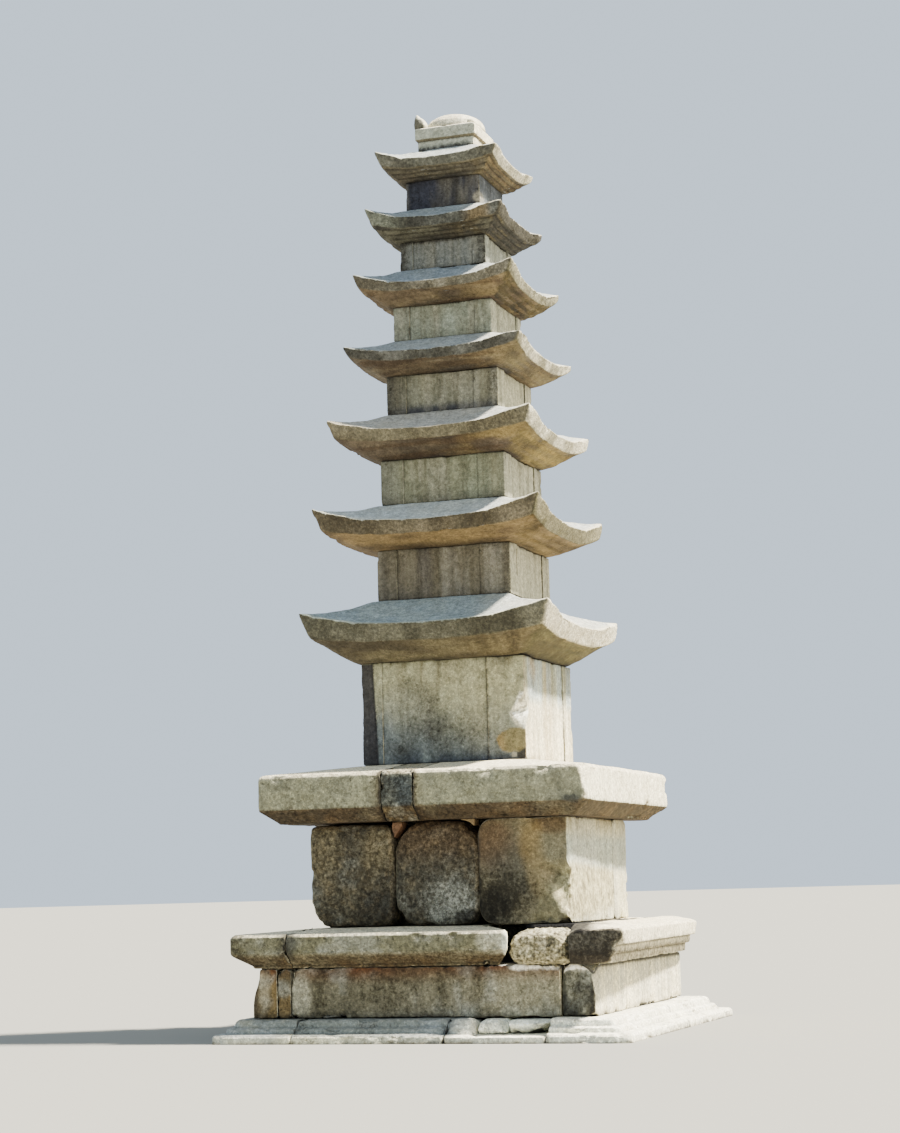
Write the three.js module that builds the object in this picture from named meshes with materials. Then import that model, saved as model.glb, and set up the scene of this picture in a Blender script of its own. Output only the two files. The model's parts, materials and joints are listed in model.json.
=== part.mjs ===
// Seven-storey stone pagoda on a two-tier base.
// Millimetres, +Z up, ground at Z 0, broad front face towards -Y, near corner at +X -Y.
import * as THREE from 'three';

// Levels of the base, from the ground up
const PLINTH_TOP = 170;
const LOWER_BASE_TOP = 552;
const LOWER_CAP_TOP = 840;
const UPPER_BASE_TOP = 1645;
const UPPER_CAP_TOP = 2100;

// Half widths of the base courses. The plinth's sides are not quite parallel.
const PLINTH_HALF = 1650;
const PLINTH_SIDES = {
  leftFront: 1622, leftBack: 1730, rightFront: 1680, rightBack: 1730,
  frontLeft: 1640, frontRight: 1680, back: 1680,
};
const LOWER_BASE_HALF = 1350;
const LOWER_CAP_HALF = 1500;
const UPPER_BASE_HALF = 1020;
const UPPER_CAP_HALF = 1320;

// Joints of the plinth
const PLINTH_LEFT_JOINT = -940;
const PLINTH_MIDDLE_JOINT = 263;
const PLINTH_RIGHT_JOINT = 1050;
const PLINTH_BREAK = 480;
const PLINTH_STEP_TOP = 52;
const PLINTH_STEP_SEAT = 60;
const PLINTH_SIDE_JOINT = 120;
const PLINTH_DEPTH = 470;

// Joints of the lower base and its cap
const LOWER_LEFT_SLAB = 190;
const LOWER_FILLER_EDGE = -1045;
const LOWER_RIGHT_EDGE = 1081;
const LOWER_FRONT_SLAB = 170;
const LOWER_RIGHT_LENGTH = 1420;
const CAP_LEFT_JOINT = -1026;
const CAP_FRONT_END = 740;
const CAP_FILLER_START = 752;
const CAP_RIGHT_START = 1192;
const CAP_FRONT_DEPTH = 800;
const CAP_FILLER_BACK = -1060;
const CAP_RIGHT_SKEW = 118;

// Joints of the upper base and its cap
const UPPER_LEFT_JOINT = -325;
const UPPER_RIGHT_JOINT = 370;
const UPPER_DEPTH = 400;
const UPPER_BACK_JOINT = 546;
const NEAR_BLOCK_SKEW = 64; // how much further out its face stands at the front
const UPPER_CAP_LEFT_JOINT = -299;
const UPPER_CAP_RIGHT_JOINT = -41;

// Storeys: body half width, body bottom and top, pilaster edges left and right of the front,
// roof eave half width, how far the corners flare, eave and corner levels, how much higher the
// left corners stand than the right ones, fascia levels
const STOREYS = [
  {
    half: 680, bottom: 2100, top: 2913, pilasters: [180, 307],
    eave: 1008, flare: 16, eaveZ: 3178, cornerRise: 124,
    fascia: 945, fasciaZ: 3047, fasciaRise: 50, offset: [-31, -10],
  },
  {
    half: 560, bottom: 3417, top: 3829, pilasters: [162, 251],
    eave: 925, flare: 14, eaveZ: 4005, cornerRise: 140,
    fascia: 870, fasciaZ: 3902, fasciaRise: 62, offset: [-24, -8],
  },
  {
    half: 525, bottom: 4196, top: 4564, pilasters: [190, 224],
    eave: 838, flare: 12, eaveZ: 4753, cornerRise: 114,
    fascia: 795, fasciaZ: 4670, fasciaRise: 44, offset: [-8, 0],
  },
  {
    half: 475, bottom: 4944, top: 5268, pilasters: [165, 205],
    eave: 732, flare: 12, eaveZ: 5412, cornerRise: 72,
    fascia: 695, fasciaZ: 5338, fasciaRise: 58, offset: [0, 0],
  },
  {
    half: 422, bottom: 5565, top: 5850, pilasters: [138, 142],
    eave: 662, flare: 12, eaveZ: 5992, cornerRise: 104,
    fascia: 630, fasciaZ: 5927, fasciaRise: 58, offset: [0, 0],
  },
  {
    half: 370, bottom: 6164, top: 6404, pilasters: [110, 110],
    eave: 572, flare: 10, eaveZ: 6553, cornerRise: 84, lean: 28,
    fascia: 535, fasciaZ: 6475, fasciaRise: 42, offset: [-12, 0],
  },
  {
    half: 322, bottom: 6684, top: 6928, pilasters: [0, 0],
    eave: 510, flare: 10, eaveZ: 7067, cornerRise: 66, lean: 24,
    fascia: 472, fasciaZ: 7001, fasciaRise: 28, offset: [0, 0],
  },
];
const PILASTER_RELIEF = 10;
const CORBEL_MARGIN = 36;
const CORBEL_STEPS = 3;
const ROOF_SEAT_MARGIN = 14;

// Roof edges: places along one side from corner to corner, and how sharply the corners turn up
const EDGE_STEPS = [-1, -0.86, -0.55, 0, 0.55, 0.86];
const CORNER_CURVE = 3.2;

// Top pieces
const BASIN_BOTTOM = 7205;
const BASIN_LIP = 7292;
const BASIN_TOP = 7400;
const BASIN_HALF = 246;
const LIP_HALF = 264;
const BASIN_SHIFT = 12;
const BOWL_RADIUS = 252;
const BOWL_HEIGHT = 138;
const BOWL_FULLNESS = 2.5;

// Stone colours
const PALE_GRANITE = 0xb3a98f;
const GREY_GRANITE = 0x8f8b78;
const OCHRE_GRANITE = 0x8a7a5a;
const DARK_GRANITE = 0x5e594c;
const PLINTH_GRANITE = 0x9a9c92;
const RUBBLE = 0x6f6757;

const pagoda = new THREE.Group();
pagoda.name = 'stone_pagoda';

// Turns the body's faces outward.
function faceOutward(positions, index) {
  const a = new THREE.Vector3();
  const b = new THREE.Vector3();
  const c = new THREE.Vector3();
  let volume = 0;
  for (let i = 0; i < index.length; i += 3) {
    a.fromArray(positions, index[i] * 3);
    b.fromArray(positions, index[i + 1] * 3);
    c.fromArray(positions, index[i + 2] * 3);
    volume += a.dot(b.clone().cross(c));
  }
  if (volume < 0) {
    index.reverse();
  }
}

// Fills one end ring. The side says whether its faces keep or turn the ring's own direction.
function fillEnd(ring, flatten, start, keep, index) {
  const flat = ring.map(flatten);
  const direction = Math.sign(THREE.ShapeUtils.area(flat)) * (keep ? 1 : -1);
  for (const [a, b, c] of THREE.ShapeUtils.triangulateShape(flat, [])) {
    const turn = Math.sign(THREE.ShapeUtils.area([flat[a], flat[b], flat[c]]));
    if (turn === direction) {
      index.push(start + a, start + b, start + c);
    } else {
      index.push(start + a, start + c, start + b);
    }
  }
}

const seenFromAbove = (p) => new THREE.Vector2(p.x, p.y);
const seenFromFront = (p) => new THREE.Vector2(p.x, p.z);

// Closed body through equal rings of points, with both ends filled.
function loft(rings, flatten = seenFromAbove) {
  const count = rings[0].length;
  const positions = [];
  const index = [];
  for (const ring of rings) {
    for (const p of ring) {
      positions.push(p.x, p.y, p.z);
    }
  }
  for (let level = 0; level < rings.length - 1; level += 1) {
    for (let i = 0; i < count; i += 1) {
      const a = level * count + i;
      const b = level * count + ((i + 1) % count);
      index.push(a, b, b + count, a, b + count, a + count);
    }
  }
  fillEnd(rings[0], flatten, 0, false, index);
  fillEnd(rings.at(-1), flatten, (rings.length - 1) * count, true, index);
  faceOutward(positions, index);
  const geometry = new THREE.BufferGeometry();
  geometry.setAttribute('position', new THREE.Float32BufferAttribute(positions, 3));
  geometry.setIndex(index);
  geometry.computeVertexNormals();
  return geometry;
}

// Adds one stone to the pagoda.
function addStone(name, geometry, color, roughness = 0.92) {
  const material = new THREE.MeshStandardMaterial({ color, roughness, metalness: 0 });
  const stone = new THREE.Mesh(geometry, material);
  stone.name = name;
  pagoda.add(stone);
  return stone;
}

// Rectangle seen from above with each corner rounded by its own cut: front left, front right,
// back right, back left.
function outline(x0, x1, y0, y1, z, cuts) {
  const corners = [[x0, y0, 1, 1], [x1, y0, -1, 1], [x1, y1, -1, -1], [x0, y1, 1, -1]];
  const widest = Math.min(x1 - x0, y1 - y0) * 0.4;
  const ring = [];
  corners.forEach(([x, y, inX, inY], corner) => {
    const cut = Math.min(cuts[corner], widest);
    const along = new THREE.Vector3(x + inX * cut, y, z);
    const middle = new THREE.Vector3(x + inX * cut * 0.293, y + inY * cut * 0.293, z);
    const across = new THREE.Vector3(x, y + inY * cut, z);
    const points = corner % 2 === 0 ? [across, middle, along] : [along, middle, across];
    ring.push(...points);
  });
  return ring;
}

// Stone built as level outlines, one above the other. Each level gives z, x0, x1, y0, y1.
function stack(levels, cuts = [8, 8, 8, 8]) {
  return loft(levels.map(([z, x0, x1, y0, y1]) => outline(x0, x1, y0, y1, z, cuts)));
}

// Course of moulded stone: outer faces follow the profile of [distance from axis, level] points,
// the joint faces stay plain. A side set to null is moulded.
function moulded(profile, joints, cuts) {
  const levels = profile.map(([distance, z]) => {
    const x0 = joints.left ?? -distance;
    const x1 = joints.right ?? distance;
    const y0 = joints.front ?? -distance;
    const y1 = joints.back ?? distance;
    return [z, x0, x1, y0, y1];
  });
  return stack(levels, cuts);
}

// Block whose front face is rounded off like a worn boulder: rings run from back to front.
function roundedBlock(x0, x1, y0, y1, z0, z1, corners, bulge) {
  const ring = (y, inset, scale) => {
    const points = [];
    const places = [
      [x0, z0, 1, 1], [x1, z0, -1, 1], [x1, z1, -1, -1], [x0, z1, 1, -1],
    ];
    places.forEach(([x, z, inX, inZ], corner) => {
      const radius = corners[corner] * scale;
      const centre = [x + inX * (radius + inset), z + inZ * (radius + inset)];
      const from = [Math.PI, 1.5 * Math.PI, 0, 0.5 * Math.PI][corner];
      for (let i = 0; i <= 3; i += 1) {
        const angle = from + (i / 3) * (Math.PI / 2);
        const px = centre[0] + radius * Math.cos(angle);
        const pz = centre[1] + radius * Math.sin(angle);
        points.push(new THREE.Vector3(px, y, pz));
      }
    });
    return points;
  };
  const rings = [
    ring(y1, 0, 1),
    ring(y0 + bulge * 1.6, 0, 1),
    ring(y0 + bulge * 0.35, bulge * 0.35, 1),
    ring(y0, bulge, 1),
  ];
  return loft(rings, seenFromFront);
}

// Plinth: three worn mouldings, the lowest one widest
const PLINTH_PROFILE = [
  [PLINTH_HALF, 0], [PLINTH_HALF, 48], [1636, 64], [1562, 72], [1556, 104], [1512, 116],
  [1502, 156], [1484, PLINTH_TOP],
];
const plinthInner = PLINTH_HALF - PLINTH_DEPTH;

// Moves the outer part of a plinth stone so that the four sides run as they do on the ground.
function fitPlinth(geometry) {
  const sides = PLINTH_SIDES;
  const place = geometry.getAttribute('position');
  const along = (value) => (value + PLINTH_HALF) / (2 * PLINTH_HALF);
  const stretch = (value, joint, reach) => (
    joint + (value - joint) * ((reach - joint) / (PLINTH_HALF - joint))
  );
  for (let i = 0; i < place.count; i += 1) {
    const x = place.getX(i);
    const y = place.getY(i);
    if (x > PLINTH_RIGHT_JOINT) {
      const reach = THREE.MathUtils.lerp(sides.rightFront, sides.rightBack, along(y));
      place.setX(i, stretch(x, PLINTH_RIGHT_JOINT, reach));
    }
    if (x < PLINTH_LEFT_JOINT) {
      const reach = THREE.MathUtils.lerp(sides.leftFront, sides.leftBack, along(y));
      place.setX(i, -stretch(-x, -PLINTH_LEFT_JOINT, reach));
    }
    if (y < -plinthInner) {
      const reach = THREE.MathUtils.lerp(sides.frontLeft, sides.frontRight, along(x));
      place.setY(i, -stretch(-y, plinthInner, reach));
    }
    if (y > plinthInner) {
      place.setY(i, stretch(y, plinthInner, sides.back));
    }
  }
  geometry.computeVertexNormals();
  return geometry;
}

addStone('plinth_left_front_stone', fitPlinth(moulded(
  PLINTH_PROFILE,
  { right: PLINTH_LEFT_JOINT, back: -850 },
  [110, 8, 8, 8],
)), PLINTH_GRANITE);
addStone('plinth_left_back_stone', fitPlinth(moulded(
  PLINTH_PROFILE,
  { right: PLINTH_LEFT_JOINT, front: -850 },
  [8, 8, 8, 30],
)), PLINTH_GRANITE);
addStone('plinth_front_left_stone', fitPlinth(moulded(
  PLINTH_PROFILE,
  { left: PLINTH_LEFT_JOINT, right: PLINTH_MIDDLE_JOINT, back: -plinthInner },
)), PLINTH_GRANITE);
addStone('plinth_right_front_stone', fitPlinth(moulded(
  PLINTH_PROFILE,
  { left: PLINTH_RIGHT_JOINT, back: PLINTH_SIDE_JOINT },
  [10, 30, 8, 8],
)), PLINTH_GRANITE);
addStone('plinth_right_back_stone', fitPlinth(moulded(
  PLINTH_PROFILE,
  { left: PLINTH_RIGHT_JOINT, front: PLINTH_SIDE_JOINT },
  [8, 8, 30, 8],
)), PLINTH_GRANITE);
addStone('plinth_back_stone', fitPlinth(moulded(
  PLINTH_PROFILE,
  { left: PLINTH_LEFT_JOINT, right: PLINTH_RIGHT_JOINT, front: plinthInner },
)), PLINTH_GRANITE);

// Broken front stone: full height at its left end, only the low step left beyond the break
function brokenPlinthStone() {
  const rings = [];
  const section = (x, top, slope) => {
    const rise = top - PLINTH_STEP_TOP;
    const points = [
      [-PLINTH_HALF, 0],
      [-PLINTH_HALF, 46],
      [-1632, PLINTH_STEP_TOP],
      [-1560 + slope, PLINTH_STEP_TOP + rise * 0.12],
      [-1548 + slope, PLINTH_STEP_TOP + rise * 0.45],
      [-1504 + slope, PLINTH_STEP_TOP + rise * 0.9],
      [-1484 + slope, top],
      [-plinthInner, top],
      [-plinthInner, 0],
    ];
    return points.map(([y, z]) => new THREE.Vector3(x, y, z));
  };
  rings.push(section(PLINTH_MIDDLE_JOINT, PLINTH_TOP, 0));
  rings.push(section(PLINTH_BREAK - 34, PLINTH_TOP, 0));
  rings.push(section(PLINTH_BREAK - 8, 120, 12));
  rings.push(section(PLINTH_BREAK, PLINTH_STEP_SEAT, 20));
  rings.push(section(PLINTH_RIGHT_JOINT, PLINTH_STEP_SEAT, 20));
  return loft(rings, (p) => new THREE.Vector2(p.y, p.z));
}
addStone('plinth_front_broken_stone', fitPlinth(brokenPlinthStone()), PLINTH_GRANITE);

// Loose pieces that fill the break
addStone('plinth_loose_stone_left', stack([
  [PLINTH_STEP_SEAT, 492, 690, -1500, -1230],
  [92, 486, 706, -1520, -1222],
  [140, 500, 700, -1500, -1226],
  [164, 530, 672, -1468, -1250],
], [30, 40, 20, 20]), PLINTH_GRANITE);
addStone('plinth_loose_stone_right', stack([
  [PLINTH_STEP_SEAT, 742, 940, -1470, -1240],
  [84, 722, 985, -1510, -1225],
  [128, 716, 1030, -1515, -1225],
  [158, 730, 1024, -1480, -1240],
], [30, 40, 20, 20]), PALE_GRANITE);

// Rubble core: carries the slabs from the ground up to the upper cap
const upperInner = UPPER_BASE_HALF - UPPER_DEPTH;
const coreLeft = -LOWER_BASE_HALF + LOWER_LEFT_SLAB;
const coreFront = -LOWER_BASE_HALF + LOWER_FRONT_SLAB;
const capFrontInner = -LOWER_CAP_HALF + CAP_FRONT_DEPTH;
const capCoreRight = LOWER_RIGHT_EDGE - 20;
addStone('rubble_core', stack([
  [0, PLINTH_LEFT_JOINT, PLINTH_RIGHT_JOINT, -plinthInner + 4, plinthInner - 4],
  [PLINTH_TOP, PLINTH_LEFT_JOINT, PLINTH_RIGHT_JOINT, -plinthInner + 4, plinthInner - 4],
  [PLINTH_TOP, coreLeft, LOWER_RIGHT_EDGE, coreFront, -coreFront],
  [LOWER_BASE_TOP, coreLeft, LOWER_RIGHT_EDGE, coreFront, -coreFront],
  [LOWER_BASE_TOP, CAP_LEFT_JOINT, capCoreRight, capFrontInner, -capFrontInner],
  [LOWER_CAP_TOP, CAP_LEFT_JOINT, capCoreRight, capFrontInner, -capFrontInner],
  [LOWER_CAP_TOP, -upperInner, UPPER_RIGHT_JOINT, -upperInner, UPPER_BACK_JOINT],
  [UPPER_BASE_TOP, -upperInner, UPPER_RIGHT_JOINT, -upperInner, UPPER_BACK_JOINT],
], [6, 6, 6, 6]), RUBBLE);

// Lower base: upright slabs around the core
function slab(x0, x1, y0, y1, z0, z1, cuts) {
  const ease = 10;
  return stack([
    [z0, x0 + ease * 0.4, x1 - ease * 0.4, y0 + ease, y1 - ease],
    [z0 + ease, x0, x1, y0, y1],
    [z1 - ease, x0, x1, y0, y1],
    [z1, x0 + ease * 0.4, x1 - ease * 0.4, y0 + ease, y1 - ease],
  ], cuts);
}
addStone('lower_base_left_slab', slab(
  -LOWER_BASE_HALF,
  coreLeft,
  -LOWER_BASE_HALF,
  LOWER_BASE_HALF,
  PLINTH_TOP,
  LOWER_BASE_TOP,
  [26, 12, 8, 20],
), OCHRE_GRANITE);
addStone('lower_base_corner_filler', slab(
  coreLeft,
  LOWER_FILLER_EDGE,
  -LOWER_BASE_HALF + 6,
  coreFront,
  PLINTH_TOP,
  LOWER_BASE_TOP,
  [14, 10, 4, 4],
), OCHRE_GRANITE);
addStone('lower_base_front_slab', slab(
  LOWER_FILLER_EDGE,
  LOWER_RIGHT_EDGE,
  -LOWER_BASE_HALF,
  coreFront,
  PLINTH_TOP,
  LOWER_BASE_TOP,
  [12, 12, 4, 4],
), GREY_GRANITE);
addStone('lower_base_right_slab', slab(
  LOWER_RIGHT_EDGE,
  LOWER_BASE_HALF,
  -LOWER_BASE_HALF,
  LOWER_RIGHT_LENGTH,
  PLINTH_TOP,
  LOWER_BASE_TOP,
  [60, 24, 14, 8],
), PALE_GRANITE);
addStone('lower_base_back_slab', slab(
  coreLeft,
  LOWER_RIGHT_EDGE,
  -coreFront,
  LOWER_BASE_HALF,
  PLINTH_TOP,
  LOWER_BASE_TOP,
  [4, 4, 12, 12],
), GREY_GRANITE);

// Lower cap: overhanging slabs with a bevelled underside and a gently sloping top
const LOWER_CAP_PROFILE = [
  [1362, LOWER_BASE_TOP], [1372, 572], [1478, 642], [LOWER_CAP_HALF, 662],
  [LOWER_CAP_HALF, 786], [1482, 806], [1046, LOWER_CAP_TOP],
];
addStone('lower_cap_left_slab', moulded(
  LOWER_CAP_PROFILE,
  { right: CAP_LEFT_JOINT },
  [60, 10, 10, 40],
), GREY_GRANITE);
addStone('lower_cap_front_slab', moulded(
  LOWER_CAP_PROFILE,
  { left: CAP_LEFT_JOINT, right: CAP_FRONT_END, back: capFrontInner },
  [16, 26, 4, 4],
), GREY_GRANITE);
addStone('lower_cap_back_slab', moulded(
  LOWER_CAP_PROFILE,
  { left: CAP_LEFT_JOINT, right: CAP_RIGHT_START, front: -capFrontInner },
  [4, 4, 14, 14],
), GREY_GRANITE);
addStone('lower_cap_rubble_filler', roundedBlock(
  CAP_FILLER_START,
  CAP_RIGHT_START - 6,
  -LOWER_CAP_HALF + 25,
  CAP_FILLER_BACK,
  LOWER_BASE_TOP,
  806,
  [40, 60, 110, 120],
  36,
), GREY_GRANITE);

// Right slab: its outer face carries three stepped bands and runs out wider towards the front
const RIGHT_CAP_PROFILE = [
  [1395, LOWER_BASE_TOP], [1398, 616], [1436, 624], [1442, 682], [1494, 690],
  [LOWER_CAP_HALF, 792], [1486, 806], [1300, LOWER_CAP_TOP],
];
function rightCapSlab() {
  const levels = RIGHT_CAP_PROFILE.map(([distance, z]) => {
    const front = z > 800 ? -distance : -LOWER_CAP_HALF + 4;
    return [z, CAP_RIGHT_START, distance, front, 1440];
  });
  levels[0][3] = -1462;
  const geometry = stack(levels, [18, 30, 20, 8]);
  const place = geometry.getAttribute('position');
  for (let i = 0; i < place.count; i += 1) {
    const x = place.getX(i);
    const outward = (x - CAP_RIGHT_START) / (LOWER_CAP_HALF - CAP_RIGHT_START);
    const forward = (1440 - place.getY(i)) / 2940;
    place.setX(i, x + CAP_RIGHT_SKEW * outward * forward);
  }
  geometry.computeVertexNormals();
  return geometry;
}
addStone('lower_cap_right_slab', rightCapSlab(), PALE_GRANITE);

// Inner slab, bent round the rubble filler, that carries the near corner of the upper base
const innerSlabPlan = [
  [CAP_FRONT_END, CAP_FILLER_BACK], [CAP_RIGHT_START, CAP_FILLER_BACK],
  [CAP_RIGHT_START, -capFrontInner], [capCoreRight, -capFrontInner],
  [capCoreRight, capFrontInner], [CAP_FRONT_END, capFrontInner],
];
addStone('lower_cap_inner_slab', loft([LOWER_BASE_TOP, LOWER_CAP_TOP].map(
  (z) => innerSlabPlan.map(([x, y]) => new THREE.Vector3(x, y, z)),
)), RUBBLE);

// Upper base: large rough blocks, boulder-like on the front
const upperFront = -UPPER_BASE_HALF;
const upperSide = -UPPER_BASE_HALF + UPPER_DEPTH;
addStone('upper_base_front_left_block', roundedBlock(
  -UPPER_BASE_HALF,
  UPPER_LEFT_JOINT,
  upperFront,
  upperSide,
  LOWER_CAP_TOP,
  UPPER_BASE_TOP - 33,
  [40, 110, 70, 40],
  30,
), DARK_GRANITE);
addStone('upper_base_front_middle_block', roundedBlock(
  UPPER_LEFT_JOINT,
  UPPER_RIGHT_JOINT,
  upperFront + 6,
  upperSide,
  LOWER_CAP_TOP,
  UPPER_BASE_TOP - 5,
  [120, 110, 150, 190],
  34,
), DARK_GRANITE);
// The near block's outer face runs out towards the front
function nearBlock() {
  const geometry = roundedBlock(
    UPPER_RIGHT_JOINT,
    UPPER_BASE_HALF,
    upperFront,
    UPPER_BACK_JOINT,
    LOWER_CAP_TOP,
    UPPER_BASE_TOP,
    [120, 10, 8, 120],
    12,
  );
  const place = geometry.getAttribute('position');
  for (let i = 0; i < place.count; i += 1) {
    const x = place.getX(i);
    const outward = Math.max(0, (x - UPPER_BASE_HALF + 40) / 40);
    const forward = (UPPER_BACK_JOINT - place.getY(i)) / (UPPER_BACK_JOINT - upperFront);
    place.setX(i, x + NEAR_BLOCK_SKEW * outward * forward);
  }
  geometry.computeVertexNormals();
  return geometry;
}
addStone('upper_base_front_right_block', nearBlock(), GREY_GRANITE);

// Small wedge stones jammed between the rounded shoulders and the cap
function wedge(shape, y0, y1) {
  const rings = [y0, y1].map((y) => shape.map(([x, z]) => new THREE.Vector3(x, y, z)));
  return loft(rings, seenFromFront);
}
addStone('upper_base_wedge_left', wedge([
  [-322, 1515], [-296, 1558], [-262, 1600], [-250, UPPER_BASE_TOP], [-332, UPPER_BASE_TOP],
  [-338, 1588], [-323, 1552],
], -975, -840), OCHRE_GRANITE);
addStone('upper_base_wedge_right', wedge([
  [228, 1641.5], [262, 1637], [300, 1620], [334, 1592], [338, UPPER_BASE_TOP],
  [228, UPPER_BASE_TOP],
], -980, -850), PALE_GRANITE);
addStone('upper_base_right_back_block', slab(
  -upperSide,
  UPPER_BASE_HALF,
  UPPER_BACK_JOINT,
  UPPER_BASE_HALF,
  LOWER_CAP_TOP,
  UPPER_BASE_TOP,
  [6, 12, 24, 6],
), PALE_GRANITE);
addStone('upper_base_back_block', slab(
  upperSide,
  -upperSide,
  UPPER_BACK_JOINT,
  UPPER_BASE_HALF,
  LOWER_CAP_TOP,
  UPPER_BASE_TOP,
  [4, 4, 20, 20],
), GREY_GRANITE);
addStone('upper_base_left_block', slab(
  -UPPER_BASE_HALF,
  upperSide,
  upperSide,
  UPPER_BASE_HALF,
  LOWER_CAP_TOP,
  UPPER_BASE_TOP,
  [16, 4, 6, 26],
), GREY_GRANITE);

// Upper cap: two heavy slabs with a narrow stone between them, bevelled below, sloping on top
const UPPER_CAP_PROFILE = [
  [1196, UPPER_BASE_TOP], [1206, 1658], [1300, 1734], [UPPER_CAP_HALF, 1750],
  [UPPER_CAP_HALF, 1996], [1302, 2022], [708, UPPER_CAP_TOP],
];
addStone('upper_cap_left_slab', moulded(
  UPPER_CAP_PROFILE,
  { right: UPPER_CAP_LEFT_JOINT },
  [44, 14, 14, 40],
), GREY_GRANITE);
addStone('upper_cap_middle_stone', moulded(
  UPPER_CAP_PROFILE.map(([distance, z]) => [distance - 8, z]),
  { left: UPPER_CAP_LEFT_JOINT, right: UPPER_CAP_RIGHT_JOINT },
  [10, 10, 10, 10],
), DARK_GRANITE);
addStone('upper_cap_right_slab', moulded(
  UPPER_CAP_PROFILE,
  { left: UPPER_CAP_RIGHT_JOINT },
  [14, 36, 40, 14],
), PALE_GRANITE);

// Storey bodies: square blocks with corner pilasters in low relief
function bodyRing(half, z, pilasters, relief, lost) {
  const [left, right] = pilasters;
  const even = (left + right) / 2;
  const widths = [[left, right], [even, even], [even, even], [even, even]];
  const ring = [];
  for (let side = 0; side < 4; side += 1) {
    const [start, end] = widths[side];
    const points = [
      [-half, half], [-half + start, half], [-half + start + 4, half - relief],
      [half - end - 4, half - relief], [half - end, half],
    ];
    for (const [along, distance] of points) {
      const angle = (side * Math.PI) / 2;
      const c = Math.round(Math.cos(angle));
      const s = Math.round(Math.sin(angle));
      ring.push(new THREE.Vector3(along * c + distance * s, along * s - distance * c, z));
    }
  }
  if (lost) {
    ring.splice(0, 1);
    ring.unshift(
      new THREE.Vector3(-half, -half + lost.depth, z),
      new THREE.Vector3(-half + lost.width - 10, -half + lost.depth, z),
      new THREE.Vector3(-half + lost.width, -half, z),
    );
  }
  return ring;
}

function bodyBlock(storey, lostStrip) {
  const { half, bottom, top, pilasters } = storey;
  const relief = pilasters[0] > 0 ? PILASTER_RELIEF : 0;
  if (relief === 0) {
    return stack([[bottom, -half, half, -half, half], [top, -half, half, -half, half]]);
  }
  const low = lostStrip ? { width: 134, depth: 30 } : null;
  const high = lostStrip ? { width: 106, depth: 24 } : null;
  return loft([
    bodyRing(half, bottom, pilasters, relief, low),
    bodyRing(half, top, pilasters, relief, high),
  ]);
}

// Square ring whose corners turn up and flare out
function roofRing(half, z, rise, flare, lean = 0) {
  const ring = [];
  for (let side = 0; side < 4; side += 1) {
    const angle = (side * Math.PI) / 2;
    const c = Math.round(Math.cos(angle));
    const s = Math.round(Math.sin(angle));
    for (const step of EDGE_STEPS) {
      const turn = Math.abs(step) ** CORNER_CURVE;
      const along = step * (half + flare);
      const distance = half + flare * turn;
      const x = along * c + distance * s;
      const y = along * s - distance * c;
      ring.push(new THREE.Vector3(x, y, z + (rise - lean * (x / half)) * turn));
    }
  }
  return ring;
}

// Roof stone: corbel steps below, upright eave band, hollow slope above
function roofStone(storey, seatHalf, topZ) {
  const under = storey.half + CORBEL_MARGIN;
  const rings = [];
  const run = storey.fascia - under;
  const climb = storey.fasciaZ - storey.top;
  for (let i = 0; i < CORBEL_STEPS; i += 1) {
    const from = i / CORBEL_STEPS;
    const lip = (i + 0.3) / CORBEL_STEPS;
    const level = (i + 0.78) / CORBEL_STEPS;
    const rise = storey.fasciaRise;
    rings.push(roofRing(under + run * from, storey.top + climb * from, rise * from * from, 0));
    rings.push(roofRing(under + run * lip, storey.top + climb * level, rise * lip * lip, 0));
  }
  const lean = storey.lean ?? 0;
  const fasciaFlare = storey.flare * 0.5;
  rings.push(roofRing(storey.fascia, storey.fasciaZ, storey.fasciaRise, fasciaFlare, lean * 0.5));
  rings.push(roofRing(storey.eave, storey.eaveZ, storey.cornerRise, storey.flare, lean));
  const slopes = [0.12, 0.4, 0.7, 1];
  for (const t of slopes) {
    const half = THREE.MathUtils.lerp(storey.eave, seatHalf, t);
    const z = storey.eaveZ + (topZ - storey.eaveZ) * t ** 1.3;
    const fade = (1 - t) ** 1.4;
    rings.push(roofRing(half, z, storey.cornerRise * fade, storey.flare * (1 - t), lean * fade));
  }
  return loft(rings);
}

STOREYS.forEach((storey, i) => {
  const number = i + 1;
  const above = STOREYS[i + 1];
  const seatHalf = (above ? above.half : BASIN_HALF) + ROOF_SEAT_MARGIN;
  const topZ = above ? above.bottom : BASIN_BOTTOM;
  addStone(`body_${number}`, bodyBlock(storey, i === 0), number === 7 ? DARK_GRANITE : GREY_GRANITE);
  const roof = addStone(`roof_${number}`, roofStone(storey, seatHalf, topZ), OCHRE_GRANITE);
  roof.position.set(storey.offset[0], storey.offset[1], 0);
});

// Dew basin: square block with a projecting lip
const basin = addStone('dew_basin', stack([
  [BASIN_BOTTOM, -BASIN_HALF, BASIN_HALF, -BASIN_HALF, BASIN_HALF],
  [BASIN_LIP - 8, -BASIN_HALF, BASIN_HALF, -BASIN_HALF, BASIN_HALF],
  [BASIN_LIP + 10, -LIP_HALF, LIP_HALF, -LIP_HALF, LIP_HALF],
  [BASIN_TOP - 10, -LIP_HALF, LIP_HALF, -LIP_HALF, LIP_HALF],
  [BASIN_TOP, -LIP_HALF + 8, LIP_HALF - 8, -LIP_HALF + 8, LIP_HALF - 8],
], [10, 10, 10, 10]), PALE_GRANITE);
basin.position.set(BASIN_SHIFT, 0, 0);

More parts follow.
